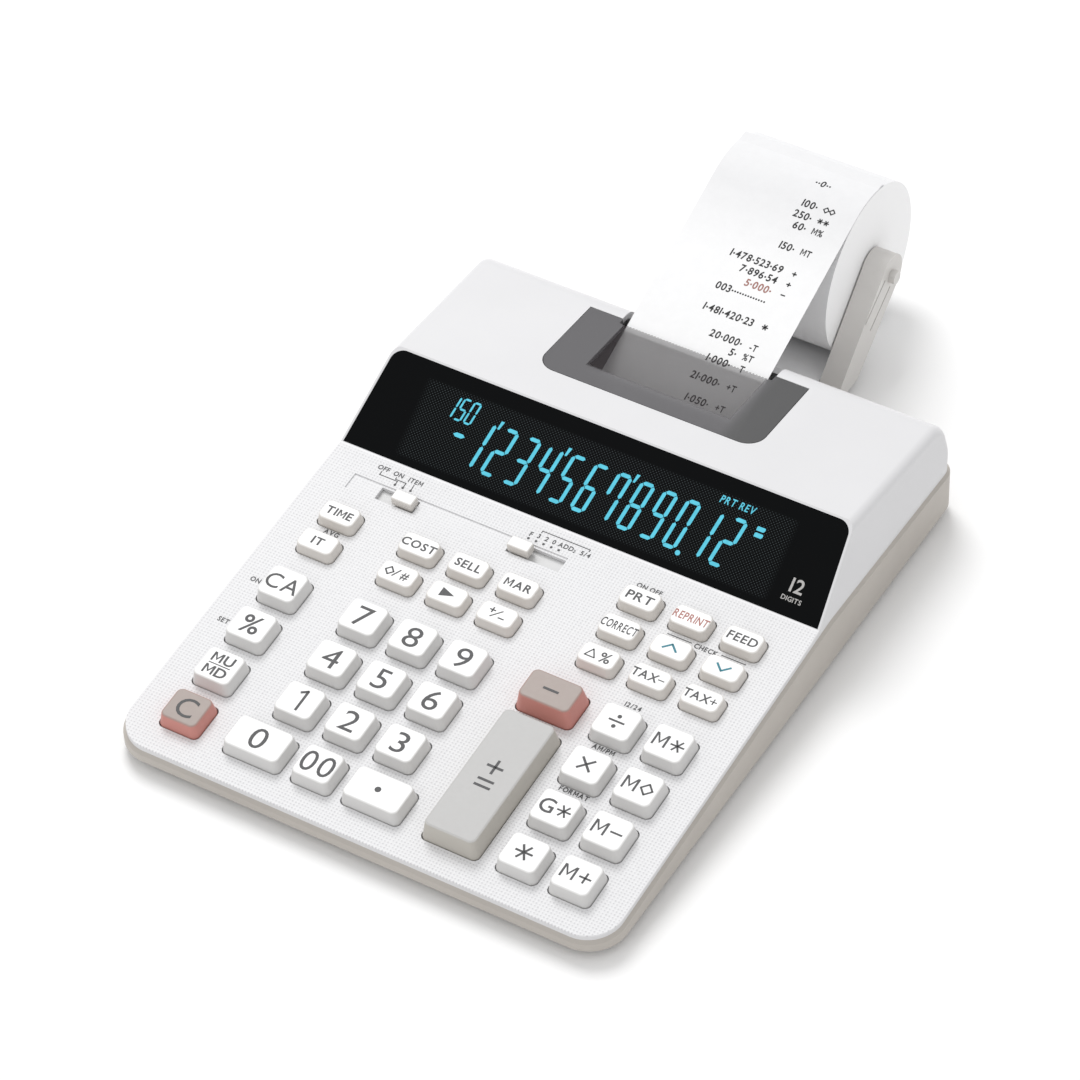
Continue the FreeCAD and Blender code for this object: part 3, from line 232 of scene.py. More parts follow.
white, white_shader, white_wire = new_finish("white_abs", Specular_IOR_Level=0.4)
white_x, white_y, white_z = white_wire.spot()
above_deck = white_z - (white_y - deck_origin.y) * math.tan(DECK_TILT) - deck_origin.z
deck_end = tray_low.y + PANEL_START * MM
on_deck = (above_deck.through("ABSOLUTE").soft_step(0.9 * MM, 0.3 * MM)
           * white_y.soft_step(deck_end - 0.55 * MM, deck_end - 1.55 * MM))
weave = wave(white_x + white_y, 2 * WEAVE) * wave(white_x - white_y, 2 * WEAVE)
relief = on_deck * (weave * 0.5 + white_wire.noise(1400.0, 2.0) * 0.7) + white_wire.noise(2600.0) * 0.12
smooth_shade = white_wire.noise(25.0).soft_step(0.3, 0.7).blend((0.700, 0.698, 0.710),
                                                                (0.715, 0.713, 0.725))
woven_shade = (weave + white_wire.noise(900.0) - 0.5).soft_step(0.1, 0.95).blend(
    (0.800, 0.799, 0.810), (0.640, 0.638, 0.652))
feed(white_shader,
     Base_Color=on_deck.blend(smooth_shade, woven_shade),
     Roughness=0.34 + on_deck * 0.2 + (white_wire.noise(180.0, 4.0) - 0.5) * 0.08,
     Normal=white_wire.node("Bump", {}, {"Height": relief, "Distance": 0.00016, "Strength": 0.9}))
dress(white, "upper_case")


# Printing on the deck: dark grey tampon ink for the switch places and the second functions.
# Everything printed is a thin film that lies a few hundredths of a millimetre proud.
def letter(sign, size, bold):
    """Outline of one letter, standing on 0 and starting at 0, in millimetres."""
    if sign == "M":
        wide, thick = size * 0.94, size * 0.115 + 2 * bold
        dip, shoulder = size * 0.42, size - thick * 1.5
        outline = [(0, 0), (0, size), (thick * 1.15, size), (wide / 2, dip),
                   (wide - thick * 1.15, size), (wide, size), (wide, 0), (wide - thick, 0),
                   (wide - thick, shoulder), (wide / 2, dip - thick * 1.5), (thick, shoulder),
                   (thick, 0)]
        return outline, [tuple(range(len(outline)))]
    curve = bpy.data.curves.new("words", "FONT")
    curve.body, curve.size, curve.offset, curve.resolution_u = sign, size / 0.7, bold, 4
    holder = bpy.data.objects.new("words", curve)
    mesh = bpy.data.meshes.new_from_object(holder)
    left = min(v.co.x for v in mesh.vertices)
    outline = [(v.co.x - left, v.co.y) for v in mesh.vertices], [tuple(f.vertices) for f in mesh.polygons]
    bpy.data.objects.remove(holder)
    bpy.data.curves.remove(curve)
    bpy.data.meshes.remove(mesh)
    return outline


def words(text, size, lean=0.0, bold=0.0, stretch=1.0, gap=0.16):
    """A line of lettering about its middle; a raised stop is written as an apostrophe."""
    points, faces, pen = [], [], 0.0
    for sign in text:
        if sign == " ":
            pen += size * 0.42
            continue
        if sign == "'":
            outline = at(dot(size * 0.13), size * 0.13, size * 0.42)
        else:
            outline = letter(sign, size, bold)
        faces += [tuple(i + len(points) for i in face) for face in outline[1]]
        points += [(pen + x * stretch + y * lean, y) for x, y in outline[0]]
        pen += max(x for x, _ in outline[0]) * stretch + size * gap
    middle = (min(x for x, _ in points) + max(x for x, _ in points)) / 2
    return [(x - middle, y - size / 2) for x, y in points], faces


def stroke(points, width, closed=False):
    """A line of even width through some points, run on a little past each corner."""
    corners, faces = [], []
    count = len(points)
    for index in range(count if closed else count - 1):
        (ax, ay), (bx, by) = points[index], points[(index + 1) % count]
        length = math.hypot(bx - ax, by - ay)
        ux, uy = (bx - ax) / length * width / 2, (by - ay) / length * width / 2
        base = len(corners)
        past = 0.6 if closed or count > 2 else 0.0
        ax, ay, bx, by = ax - ux * past, ay - uy * past, bx + ux * past, by + uy * past
        corners += [(ax - uy, ay + ux), (ax + uy, ay - ux), (bx + uy, by - ux), (bx - uy, by + ux)]
        faces.append(tuple(range(base, base + 4)))
    return corners, faces


def dot(radius, sides=20):
    ring = [(radius * math.cos(i * math.tau / sides), radius * math.sin(i * math.tau / sides))
            for i in range(sides)]
    return ring, [tuple(range(sides))]


def at(shape, x, y):
    return [(px + x, py + y) for px, py in shape[0]], shape[1]


def print_film(name, shapes, place, material, body):
    """One mesh of flat ink shapes, each point put in place by a function of x and y."""
    work = bmesh.new()
    for points, faces in shapes:
        verts = [work.verts.new(place(x, y)) for x, y in points]
        for face in faces:
            work.faces.new([verts[i] for i in face])
    return into_scene(name, finished(work, name), material, body)


def ink(name, low, high, rough=0.45, **plain):
    """Printing ink: slightly uneven in depth of colour and in shine."""
    material, shader, wire = new_finish(name, **plain)
    feed(shader,
         Base_Color=wire.noise(1800.0, 3.0).soft_step(0.25, 0.75).blend(low, high),
         Roughness=rough + wire.noise(3000.0) * 0.15)
    return material


def on_deck_at(x, v, lift=0.06):
    return deck_origin + Vector((x * MM, 0, 0)) + deck_up * (v * MM) + deck_out * (lift * MM)


grey_ink = ink("grey_ink", (0.042, 0.042, 0.045), (0.058, 0.058, 0.061))
PRINT_LINES = [
    ("AVG", -76.2, 109.9), ("ON", -88.6, 80.1), ("SET", -88.8, 59.9), ("ON OFF", 35.6, 137.9),
    ("CHECK", 65.9, 123.4), ("12/24", 56.0, 91.0), ("AM/PM", 56.2, 70.6), ("FORMAT", 56.6, 50.4),
    ("OFF", -75.4, 143.7), ("ON", -69.2, 143.5), ("ITEM", -62.0, 143.3), ("F", -13.4, 141.0),
    ("3", -10.5, 141.4), ("2", -7.4, 141.4), ("0", -4.4, 141.4), ("ADD", 0.3, 141.4), ("5/4", 8.1, 141.4),
]
deck_labels = [at(words(text, 1.95, bold=0.07, stretch=0.9), x, v) for text, x, v in PRINT_LINES]
deck_labels += [at(words("2", 1.3, bold=0.04, stretch=0.9), 3.9, 140.9)]
deck_labels += [stroke(line, 0.34) for line in (
    [(50.6, 123.7), (60.2, 123.7)], [(71.6, 123.7), (81.2, 123.7)],
    [(-75.4, 142.2), (-75.4, 140.6), (-68.0, 140.6), (-68.0, 139.4)],
    [(-69.2, 142.0), (-69.2, 141.2), (-64.8, 141.2), (-64.8, 139.4)], [(-61.8, 141.8), (-61.6, 139.4)],
    [(-10.5, 143.0), (-10.5, 143.9), (8.6, 143.9), (8.6, 143.0)])]
deck_labels += [at(dot(0.5), x, 138.9) for x in (-68.0, -64.8, -61.6, -13.4, -10.3, -7.3, -4.2, -1.2)]
print_film("deck_printing", deck_labels, on_deck_at, grey_ink, "case")


# The two slide knobs: plain white caps on a stem, which click between places printed on the
# deck. A white light shield rides on each stem just under the deck and closes the slot.
def keycap(name, top, rim, side, rough=0.42):
    """A moulded cap with a fine satin grain, whose sides and rim are painted in other shades than its top:
    painted light and shade for how the light falls on them.
    """
    material, shader, wire = new_finish(name, Specular_IOR_Level=0.35)
    facing = wire.node("VectorMath", {"operation": "DOT_PRODUCT"},
                       {0: wire.node("TexCoord", out=1), 1: tuple(deck_out)}, out=1)
    # Painted shade: the sides and rim take their own colours by how far they turn from the deck's up.
    sides = facing.soft_step(0.25, 0.85).blend(side, rim)
    cloud = wire.noise(160.0, 3.0)
    feed(shader,
         Base_Color=(facing.soft_step(0.86, 0.99) * (0.92 + cloud * 0.16)).blend(sides, top),
         Roughness=rough + (wire.noise(700.0, 3.0) - 0.5) * 0.1,
         Normal=wire.node("Bump", {}, {"Height": wire.noise(3800.0), "Distance": 0.00001, "Strength": 0.5}))
    return material


# The side and rim colours of the small caps are painted shade.
small_cap = keycap("small_white_cap", (0.93, 0.93, 0.93), (0.82, 0.795, 0.765), (0.680, 0.648, 0.612))
dress(small_cap, "power_switch_knob", "decimal_switch_knob")


SWITCH_ROW, SHIELD_DEPTH = 133.5, 2.35


def shield_mesh(name, middle, half):
    """A thin plate with bevelled edges, square to the deck and just under it."""
    work = bmesh.new()
    bmesh.ops.create_cube(work, size=1.0)
    bmesh.ops.scale(work, vec=(2 * half * MM, 7.6 * MM, 0.4 * MM), verts=work.verts)
    bmesh.ops.bevel(work, geom=list(work.edges), offset=0.12 * MM, segments=2, profile=0.5, affect="EDGES")
    spot = on_deck_at(middle, SWITCH_ROW, -SHIELD_DEPTH)
    work.transform(Matrix.Translation(spot) @ Matrix.Rotation(DECK_TILT, 4, "X"))
    return finished(work, name)


shield_white = moulding("shield_white", (0.62, 0.62, 0.62), (0.68, 0.68, 0.68), rough=0.5)
for name, middle, half in (("power_switch", -60.6, 11.2), ("decimal_switch", -13.3, 17.4)):
    into_scene(name + "_shield", shield_mesh(name + "_shield", middle, half), shield_white,
               name + "_knob")


# The keys: forty-three caps on a rubber mat. Most are white; the clear and minus keys are a
# dusty rose and the total key is grey. Legends are printed on top in dark grey, and a few in
# rose or blue.
# The side and rim colours of these caps are painted light and shade, not a second colour of plastic.
white_cap = keycap("white_cap", (0.93, 0.93, 0.93), (0.82, 0.815, 0.805), (0.675, 0.668, 0.658))
rose_cap = keycap("rose_cap", (0.360, 0.302, 0.276), (0.41, 0.275, 0.245), (0.590, 0.250, 0.215))
grey_cap = keycap("grey_cap", (0.480, 0.476, 0.470), (0.56, 0.552, 0.540), (0.510, 0.485, 0.440))
for name in nodes:
    if name.startswith("key_") and name != "key_mat":
        low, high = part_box(name)
        plain = white_cap if high.y - low.y > 12 * MM else small_cap
        dress({"key_clear": rose_cap, "key_minus": rose_cap, "key_total": grey_cap}.get(name, plain), name)


def top_of(name):
    """Middle of a key's top in the deck's x, v and height, in millimetres."""
    spots = []
    for vertex in nodes[name].data.vertices:
        away = vertex.co - deck_origin
        spots.append((away.x / MM, away.dot(deck_up) / MM, away.dot(deck_out) / MM))
    height = max(spot[2] for spot in spots)
    top = [spot for spot in spots if spot[2] > height - 0.02]
    return [(min(spot[i] for spot in top) + max(spot[i] for spot in top)) / 2 for i in (0, 1)] + [height]


def star(size, width):
    """Six arms, as on an asterisk."""
    tips = [(size * math.cos(turn * math.pi / 3), size * math.sin(turn * math.pi / 3))
            for turn in range(3)]
    return [stroke([(x, y), (-x, -y)], width) for x, y in tips]


def diamond(size, width):
    return stroke([(0, size), (size * 0.95, 0), (0, -size), (-size * 0.95, 0)], width, closed=True)


def moved(shapes, x, y):
    return [at(shape, x, y) for shape in shapes]


BIG, MEDIUM, SMALL = 8.6, 5.4, 3.3
memory_sign = moved([words("M", MEDIUM, bold=0.09)], -3.0, 0)
tax_sign = moved([words("TAX", SMALL + 0.1, bold=0.1, stretch=0.95, gap=0.03)], -1.9, 0)
legends = {f"key_digit_{n}": [words(str(n), BIG, stretch=1.12)] for n in range(2, 10)}
legends.update({
    "key_digit_1": [stroke([(-1.2, 2.9), (0.9, 4.2), (0.9, -4.3)], 1.0)],
    "key_zero": [words("0", BIG, stretch=1.12)],
    "key_double_zero": [words("00", BIG)],
    "key_point": [dot(1.15)],
    "key_time": [words("TIME", SMALL, bold=0.12)],
    "key_item": [words("IT", SMALL, bold=0.12, stretch=1.1)],
    "key_clear_all": [words("CA", 6.4, bold=0.05)],
    "key_percent": [words("%", 7.6, bold=0.14)],
    "key_markup": moved([words("MU", 3.9, bold=0.13, stretch=1.12)], 0, 2.8)
    + [stroke([(-4.3, 0), (4.3, 0)], 0.4)]
    + moved([words("MD", 3.9, bold=0.13, stretch=1.12)], 0, -2.8),
    "key_clear": [words("C", BIG - 0.6, bold=0.04)],
    "key_cost": [words("COST", SMALL, bold=0.12)],
    "key_sell": [words("SELL", SMALL, bold=0.12)],
    "key_margin": [words("MAR", SMALL, bold=0.12)],
    "key_subtotal": moved([diamond(1.7, 0.6)], -3.3, 0) + [stroke([(-1.5, -1.8), (0.4, 1.8)], 0.55)]
    + moved([words("#", SMALL, bold=0.08)], 2.9, 0),
    "key_backspace": [([(-2.6, 2.0), (-2.6, -2.0), (2.8, 0)], [(0, 1, 2)])],
    "key_sign": [stroke([(-3.5, 1.0), (-1.1, 1.0)], 0.55), stroke([(-2.3, -0.2), (-2.3, 2.2)], 0.55),
                 stroke([(-2.0, -1.9), (1.4, 1.9)], 0.5), stroke([(0.9, -1.3), (3.3, -1.3)], 0.55)],
    "key_minus": [stroke([(-3.0, 0), (3.0, 0)], 1.0)],
    "key_total": [stroke([(-3.1, 3.4), (3.1, 3.4)], 1.0), stroke([(0, 0.3), (0, 6.5)], 1.0),
                  stroke([(-3.1, -2.6), (3.1, -2.6)], 1.0), stroke([(-3.1, -5.3), (3.1, -5.3)], 1.0)],
    "key_print": [words("PRT", SMALL + 0.3, bold=0.1, stretch=1.1, gap=0.11)],
    "key_feed": [words("FEED", SMALL + 0.2, bold=0.09)],
    "key_correct": [words("CORRECT", SMALL + 0.1, bold=0.1, stretch=0.56, gap=0.1)],
    "key_reprint": [words("REPRINT", SMALL, bold=0.08, stretch=0.68, gap=0.11)],
    "key_up": [stroke([(-2.6, -1.2), (0, 1.3), (2.6, -1.2)], 0.8)],
    "key_down": [stroke([(-2.6, 1.2), (0, -1.3), (2.6, 1.2)], 0.8)],
    "key_delta": moved([stroke([(-1.9, -1.6), (1.9, -1.6), (0, 1.7)], 0.5, closed=True)], -2.8, 0)
    + moved([words("%", SMALL + 0.9, bold=0.1)], 2.6, 0),
    "key_tax_minus": tax_sign
    + [stroke([(3.1, 0), (5.5, 0)], 0.45)],
    "key_tax_plus": tax_sign
    + [stroke([(3.1, 0), (5.7, 0)], 0.45), stroke([(4.4, -1.3), (4.4, 1.3)], 0.45)],
    "key_divide": [stroke([(-3.0, 0), (3.0, 0)], 0.8), at(dot(0.8), 0, 2.2), at(dot(0.8), 0, -2.2)],
    "key_multiply": [stroke([(-2.5, -2.5), (2.5, 2.5)], 0.9), stroke([(-2.5, 2.5), (2.5, -2.5)], 0.9)],
    "key_star": star(3.3, 0.85),
    "key_grand_total": moved([words("G", MEDIUM + 0.4, bold=0.09)], -3.0, 0) + moved(star(2.6, 0.7), 3.3, 0),
    "key_memory_total": memory_sign + moved(star(2.6, 0.7), 3.3, 0),
    "key_memory_subtotal": memory_sign + moved([diamond(2.3, 0.7)], 3.1, 0),
    "key_memory_minus": memory_sign + [stroke([(0.9, 0), (5.4, 0)], 0.75)],
    "key_memory_plus": memory_sign
    + [stroke([(0.9, 0), (5.4, 0)], 0.75), stroke([(3.15, -2.25), (3.15, 2.25)], 0.75)],
})
rose_ink = ink("rose_ink", (0.36, 0.12, 0.10), (0.42, 0.16, 0.13))
blue_ink = ink("blue_ink", (0.012, 0.17, 0.23), (0.016, 0.22, 0.28))
for name, shapes in legends.items():
    x, v, height = top_of(name)
    colour = {"key_reprint": rose_ink, "key_up": blue_ink, "key_down": blue_ink}.get(name, grey_ink)
    print_film("legend_" + name[4:], shapes, lambda px, py: on_deck_at(x + px, v + py, height + 0.03),
               colour, name)


# The display: a smoked acrylic window with a fine grid of dots over the lit part. The window is
# opaque here, so the blue-green figures of the tube are a film on its face.
window, window_shader, window_wire = new_finish("smoked_window", Specular_IOR_Level=0.05)
PANEL_TILT = math.radians(34.3)
panel_origin = Vector((0, tray_low.y + PANEL_START * MM,
                       (DECK_FRONT + PANEL_START * math.tan(DECK_TILT)) * MM))
panel_up = Vector((0, math.cos(PANEL_TILT), math.sin(PANEL_TILT)))
panel_out = Vector((0, -math.sin(PANEL_TILT), math.cos(PANEL_TILT)))
DOT_PITCH = 1.3 * MM
win_x, win_y, win_z = window_wire.spot()
climb = (win_y - panel_origin.y) * math.cos(PANEL_TILT) + (win_z - panel_origin.z) * math.sin(PANEL_TILT)
grid = wave(win_x, DOT_PITCH) * wave(climb, DOT_PITCH)
lit_area = (win_x.soft_step(-76.0 * MM, -72.0 * MM) * win_x.soft_step(75.0 * MM, 71.2 * MM)
            * climb.soft_step(2.5 * MM, 4.0 * MM) * climb.soft_step(33.0 * MM, 31.5 * MM))
feed(window_shader,
     Base_Color=(grid.soft_step(0.45, 0.95) * lit_area).blend((0.0036, 0.0040, 0.0044),
                                                              (0.060, 0.072, 0.076)),
     Roughness=0.16 + window_wire.noise(60.0) * 0.06)
dress(window, "display_window")

SEGMENTS = {"0": "abcdef", "1": "bc", "2": "abged", "3": "abgcd", "4": "fgbc", "5": "afgcd",
            "6": "afgecd", "7": "fabc", "8": "abcdefg", "9": "abfgcd", "-": "g"}


def numeral(figure, wide, tall, thick, lean):
    """Seven-segment figure with pointed joints, leaning to the right."""
    ends = {"a": ((0, 1), (1, 1)), "b": ((1, 1), (1, 0.5)), "c": ((1, 0.5), (1, 0)), "d": ((0, 0), (1, 0)),
            "e": ((0, 0.5), (0, 0)), "f": ((0, 1), (0, 0.5)), "g": ((0, 0.5), (1, 0.5))}
    shapes = []
    for bar in SEGMENTS[figure]:
        (ax, ay), (bx, by) = [(x * wide, y * tall) for x, y in ends[bar]]
        length = math.hypot(bx - ax, by - ay)
        ux, uy = (bx - ax) / length, (by - ay) / length
        gap, half = thick * 0.10, thick / 2
        outline = []
        for along, out in ((gap, 0), (gap + half, half), (length - gap - half, half), (length - gap, 0),
                           (length - gap - half, -half), (gap + half, -half)):
            px, py = ax + ux * along - uy * out, ay + uy * along + ux * out
            outline.append((px + lean * py, py))
        shapes.append((outline, [tuple(range(6))]))
    return shapes


glow, glow_shader, glow_wire = new_finish("blue_green_segments", Emission_Strength=0.7)
glow_tone = glow_wire.noise(500.0, 2.0).soft_step(0.3, 0.7)
feed(glow_shader,
     Base_Color=glow_tone.blend((0.03, 0.22, 0.28), (0.04, 0.26, 0.33)),
     Roughness=0.3 + glow_wire.noise(900.0) * 0.1,
     Emission_Color=glow_tone.blend((0.085, 0.49, 0.64), (0.10, 0.54, 0.70)))
FIGURE_W, FIGURE_H, FIGURE_PITCH, LEAN = 4.5, 17.3, 9.137, 0.15
FIRST_FIGURE = -51.05
segments = []
figure_x = FIRST_FIGURE
for figure in "123456789012":
    segments += moved(numeral(figure, FIGURE_W, FIGURE_H, 1.4, LEAN), figure_x, 8.0)
    figure_x += FIGURE_PITCH
for place in (0, 3, 6):
    left = FIRST_FIGURE + place * FIGURE_PITCH + FIGURE_W + 3.6
    tick = [(left, 24.1), (left + 0.5, 27.3), (left + 1.8, 27.3), (left + 0.8, 24.1)]
    segments.append((tick, [(0, 1, 2, 3)]))
segments.append(at(dot(0.95), FIRST_FIGURE + 9 * FIGURE_PITCH + FIGURE_W + 2.0, 7.0))
for place, figure in enumerate("150"):
    segments += moved(numeral(figure, 2.5, 8.0, 0.75, LEAN), -63.8 + place * 4.0, 22.0)
segments.append(([(-57.6, 17.1), (-56.4, 17.9), (-53.9, 17.9), (-52.9, 17.1), (-54.1, 16.3), (-56.6, 16.3)],
                 [tuple(range(6))]))
segments += moved([words("PRT REV", 2.7, bold=0.06, lean=0.15, stretch=0.8)], 51.0, 30.1)
# The sign mark at the right: a tile in two halves, with a dark gap for the bar of the sign.
for low, high in ((21.9, 23.5), (24.2, 25.8)):
    segments.append(([(60.6, low), (63.4, low), (63.8, low + 0.5), (63.9, high - 0.3), (63.6, high),
                      (60.9, high), (60.6, high - 0.4)], [tuple(range(7))]))


def on_panel_at(x, v, lift=0.04):
    return panel_origin + Vector((x * MM, 0, 0)) + panel_up * (v * MM) + panel_out * (lift * MM)


print_film("display_segments", segments, on_panel_at, glow, "case")
light_ink = ink("light_ink", (0.42, 0.41, 0.40), (0.50, 0.49, 0.48))
window_words = [at(words("12", 5.0, bold=0.1), 82.6, 11.4),
                at(words("DIGITS", 1.7, bold=0.04), 82.4, 6.4)]
print_film("window_printing", window_words, on_panel_at, light_ink, "case")


# Behind the window: the glass tube in its rim, the circuit board and the rubber mat that the
# keys stand on. They are hidden once the shells are closed, and keep their real finishes.
dress(moulding("tube_glass", (0.015, 0.022, 0.024), (0.022, 0.030, 0.032), rough=0.12, depth=0.000005),
      "display_module")
dress(moulding("solder_mask", (0.012, 0.110, 0.050), (0.020, 0.145, 0.070), rough=0.35, cloud=300.0),
      "main_board")
dress(moulding("silicone_mat", (0.33, 0.33, 0.34), (0.39, 0.39, 0.40), rough=0.7, grain=1800.0), "key_mat")


# The printer: a folded steel frame with a motor, a ground rubber feed roller on a shaft and a
# moulded print wheel. A smoked cover with a toothed tear edge lies over it.
dress(moulding("frame_steel", (0.16, 0.16, 0.165), (0.22, 0.22, 0.225), rough=0.42, Metallic=0.6),
      "printer_frame")
dress(moulding("roller_rubber", (0.020, 0.020, 0.021), (0.032, 0.032, 0.032), rough=0.75, grain=4000.0),
      "feed_roller")
dress(moulding("wheel_black", (0.030, 0.030, 0.032), (0.045, 0.045, 0.045), rough=0.4), "print_wheel")

smoke, smoke_shader, smoke_wire = new_finish("smoked_cover", Specular_IOR_Level=0.35)
smoke_x, smoke_y, _ = smoke_wire.spot()
# Painted light and shade: beside the paper the cover is painted lighter and more opaque, standing in for the
# light off the parts under it, and darker towards its right side; over the paper it is darker and clearer.
over_paper = (smoke_x.through("ABSOLUTE").soft_step(29.3 * MM, 28.7 * MM)
              * smoke_y.soft_step(33.5 * MM, 35.0 * MM))
smoke_painted_light_and_shade = smoke_x.soft_step(28 * MM, 34 * MM).blend((0.150, 0.147, 0.154), (0.112, 0.112, 0.114))
feed(smoke_shader,
     Base_Color=(over_paper * (0.9 + smoke_wire.noise(40.0) * 0.2)).blend(smoke_painted_light_and_shade,
                                                                          (0.050, 0.041, 0.045)),
     Roughness=0.12 + smoke_wire.noise(900.0, 3.0) * 0.1,
     Alpha=0.82 - over_paper * 0.52 + smoke_wire.noise(30.0) * 0.02)
dress(smoke, "printer_cover")


# The paper holder: a U of warm grey ABS whose arms carry the roll on two hubs. Each hub sits on
# a spring tongue that is cut free by two slits.
holder_abs = moulding("holder_abs", (0.640, 0.622, 0.600), (0.670, 0.652, 0.630), rough=0.42)
dress(holder_abs, "roll_holder")


# The paper: plain white calculator roll. The strip comes round the feed roller, out over the
# tear edge and lies back on the roll, with a printed calculation on it.
paper, paper_shader, paper_wire = new_finish("roll_paper", Specular_IOR_Level=0.2)
fibre = paper_wire.noise(3500.0, 5.0, 0.7)
pulp = paper_wire.noise(220.0, 5.0, 0.7).soft_step(0.3, 0.7)
_, paper_y, _ = paper_wire.spot()
# Painted light: where the paper faces sideways, on the wound ends of the roll, it is painted whiter.
roll_end_painted_light = paper_wire.node("VectorMath", {"operation": "DOT_PRODUCT"},
                           {0: paper_wire.node("TexCoord", out=1), 1: (1, 0, 0)}, out=1)
roll_end_painted_light = roll_end_painted_light.through("ABSOLUTE").soft_step(0.5, 0.9)
# The face is painted a shade greyer where it curls over the roll, as painted shade, and the wound edges are
# painted whiter, as painted light.
face = paper_y.soft_step(0.090, 0.135).blend(pulp.blend((0.895, 0.895, 0.900), (0.915, 0.915, 0.920)),
                                             pulp.blend((0.775, 0.775, 0.785), (0.795, 0.795, 0.805)))
feed(paper_shader,
     Base_Color=roll_end_painted_light.blend(face, (0.965, 0.965, 0.970)),
     Roughness=0.75 + fibre * 0.15,
     Normal=paper_wire.node("Bump", {}, {"Height": fibre, "Distance": 0.00002, "Strength": 0.4}))
dress(paper, "paper_roll", "paper_strip")

strip_tree = BVHTree.FromPolygons([v.co for v in nodes["paper_strip"].data.vertices],
                                  [tuple(f.vertices) for f in nodes["paper_strip"].data.polygons])
_, strip_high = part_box("paper_strip")


def sheet_height(y):
    """Where a drop from above lands on the paper, and the paper's facing there."""
    found = strip_tree.ray_cast(Vector((0.001, y, strip_high.z + 0.05)), Vector((0, 0, -1)))
    return found[0], found[1]


RUN_START, RUN_STEP = 28.5 * MM, 0.5 * MM
run_steps = int((strip_high.y - RUN_START - MM) / RUN_STEP)
run = [sheet_height(RUN_START + step * RUN_STEP) for step in range(run_steps)]
run = [(spot, out) for spot, out in run if spot is not None and out.z > 0.2]
reach = [0.0]
for (before, _), (after, _) in zip(run, run[1:]):
    reach.append(reach[-1] + (after - before).length)


def on_strip_at(x, along, lift=0.05):
    """Point of the strip's upper face, at a distance in millimetres along the paper."""
    place = min(max(along * MM, 0.0), reach[-1] - 1e-6)
    index = max(i for i, far in enumerate(reach) if far <= place)
    index = min(index, len(run) - 2)
    share = (place - reach[index]) / (reach[index + 1] - reach[index])
    spot = run[index][0].lerp(run[index + 1][0], share)
    out = run[index][1].lerp(run[index + 1][1], share).normalized()
    return Vector((x * MM, spot.y, spot.z)) + out * (lift * MM)


black_ink = ink("ribbon_black", (0.010, 0.010, 0.011), (0.022, 0.022, 0.023), rough=0.6)
red_ink = ink("ribbon_red", (0.30, 0.12, 0.10), (0.42, 0.20, 0.17), rough=0.6)
# Each line is its distance along the paper, its figures and its sign.
PRINTED = [
    (5.2, "60.", "T"), (10.0, "5.", "%T"), (19.2, "1'050.", "+T"), (28.0, "21'000.", "+T"),
    (36.2, "1'000.", "T"), (41.0, "5.", "%T"), (45.4, "20'000.", "-T"), (54.3, "1'481'420.23", "*"),
    (63.6, "003.............", ""), (68.3, "5'000.", "-"), (72.9, "7'896.54", "+"),
    (77.5, "1'478'523.69", "+"), (86.7, "150.", "MT"), (95.8, "60.", "M%"), (100.3, "250.", "**"),
    (105.2, "100.", "<>"), (115.5, "..0..", ""),
]
FIGURE_RIGHT, SIGN_MIDDLE = 13.5, 18.2
RED_FIGURES = "5'000."


def shifted_right(shape, right):
    """Move a shape so that its right side is at a place."""
    far = max(p[0] for p in shape[0])
    return at(shape, right - far, 0)


plus_bars = [stroke([(-0.9, 0), (0.9, 0)], 0.5), stroke([(0, -0.9), (0, 0.9)], 0.5)]
small_diamond, small_star = [diamond(1.1, 0.45)], star(1.1, 0.45)
marks = {"<>": moved(small_diamond, -1.2, 0) + moved(small_diamond, 1.2, 0),
         "+": plus_bars, "-": plus_bars[:1], "*": star(1.2, 0.5),
         "**": moved(small_star, -1.2, 0) + moved(small_star, 1.2, 0)}
black_lines, red_lines = [], []
for along, figures, sign in PRINTED:
    # A stop or comma in the figures is printed as a raised point.
    row = words(figures.replace(".", "'"), 2.9, lean=0.05, bold=0.09, stretch=0.92, gap=0.13)
    line = [at(shifted_right(row, FIGURE_RIGHT), 0, along)]
    if figures == RED_FIGURES:
        red_lines += line
        line = []
    if sign:
        mark = marks.get(sign) or [words(sign, 2.6, bold=0.08, stretch=0.8, gap=0.1)]
        line += moved(mark, SIGN_MIDDLE, along)
    black_lines += line
print_film("printed_figures", black_lines, on_strip_at, black_ink, "case")
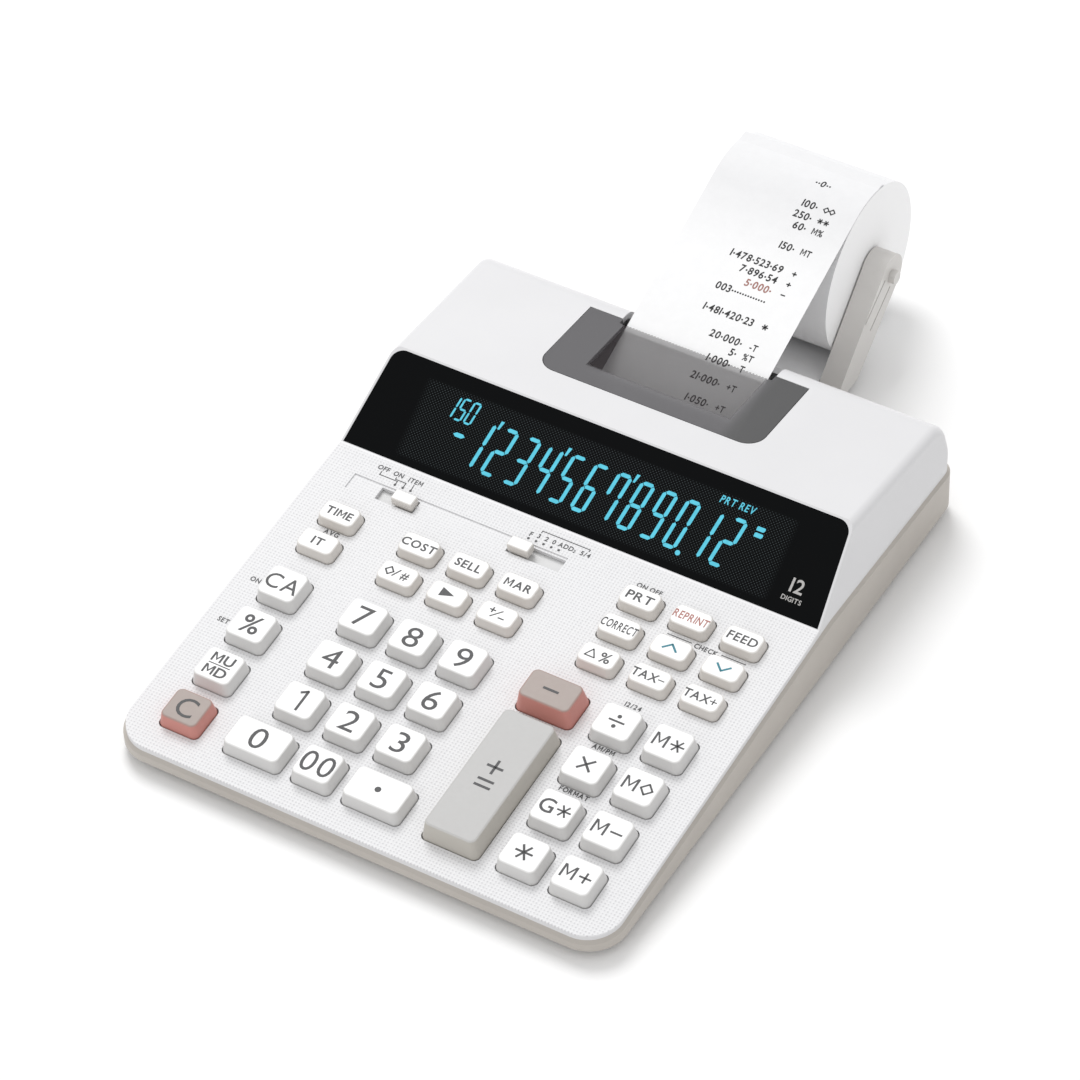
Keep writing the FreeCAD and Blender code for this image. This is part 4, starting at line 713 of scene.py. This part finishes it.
print_film("printed_red_figures", red_lines, on_strip_at, red_ink, "case")


# The desk top and the light: a plain pale floor, a broad soft light above and behind the left
# side, and a weaker one in front.
floor_work = bmesh.new()
bmesh.ops.create_grid(floor_work, x_segments=2, y_segments=2, size=6.0)
floor_mesh = finished(floor_work, "desk_top")
floor = bpy.data.objects.new("desk_top", floor_mesh)
bpy.context.scene.collection.objects.link(floor)
pale, pale_shader, pale_wire = new_finish("pale_desk", Specular_IOR_Level=0.0)
feed(pale_shader, Base_Color=pale_wire.noise(4.0).blend((0.955, 0.955, 0.955), (0.965, 0.965, 0.965)),
     Roughness=0.9 + pale_wire.noise(30.0) * 0.05)
floor_mesh.materials.append(pale)

world = bpy.data.worlds.new("studio")
bpy.context.scene.world = world
world.use_nodes = True
world.node_tree.nodes["Background"].inputs["Color"].default_value = (1.0, 1.0, 1.0, 1)
world.node_tree.nodes["Background"].inputs["Strength"].default_value = 0.72


def soft_light(name, place, aim, size, power):
    lamp = bpy.data.lights.new(name, "AREA")
    lamp.shape, lamp.size, lamp.energy = "DISK", size, power
    holder = bpy.data.objects.new(name, lamp)
    bpy.context.scene.collection.objects.link(holder)
    holder.location = place
    holder.rotation_euler = (Vector(aim) - Vector(place)).to_track_quat("-Z", "Y").to_euler()


soft_light("key_light", (-0.9, 0.9, 1.9), (0, -0.03, 0), 1.1, 26)
soft_light("fill_light", (-0.3, -1.8, 1.2), (0, -0.05, 0), 1.2, 4)

lens = bpy.data.cameras.new("view")
lens.lens, lens.sensor_width = 157.593, 36.0
lens.clip_start, lens.clip_end = 0.05, 30.0
camera = bpy.data.objects.new("view", lens)
bpy.context.scene.collection.objects.link(camera)
VIEW_PLACE = (0.61357, -1.01109, 1.17944)
VIEW_TURN = (45.1042, 1.6916, 30.7793)
camera.matrix_world = Matrix.LocRotScale(
    Vector(VIEW_PLACE), Euler([math.radians(turn) for turn in VIEW_TURN]), None)
bpy.context.scene.camera = camera
bpy.context.scene.view_settings.view_transform = "Standard"
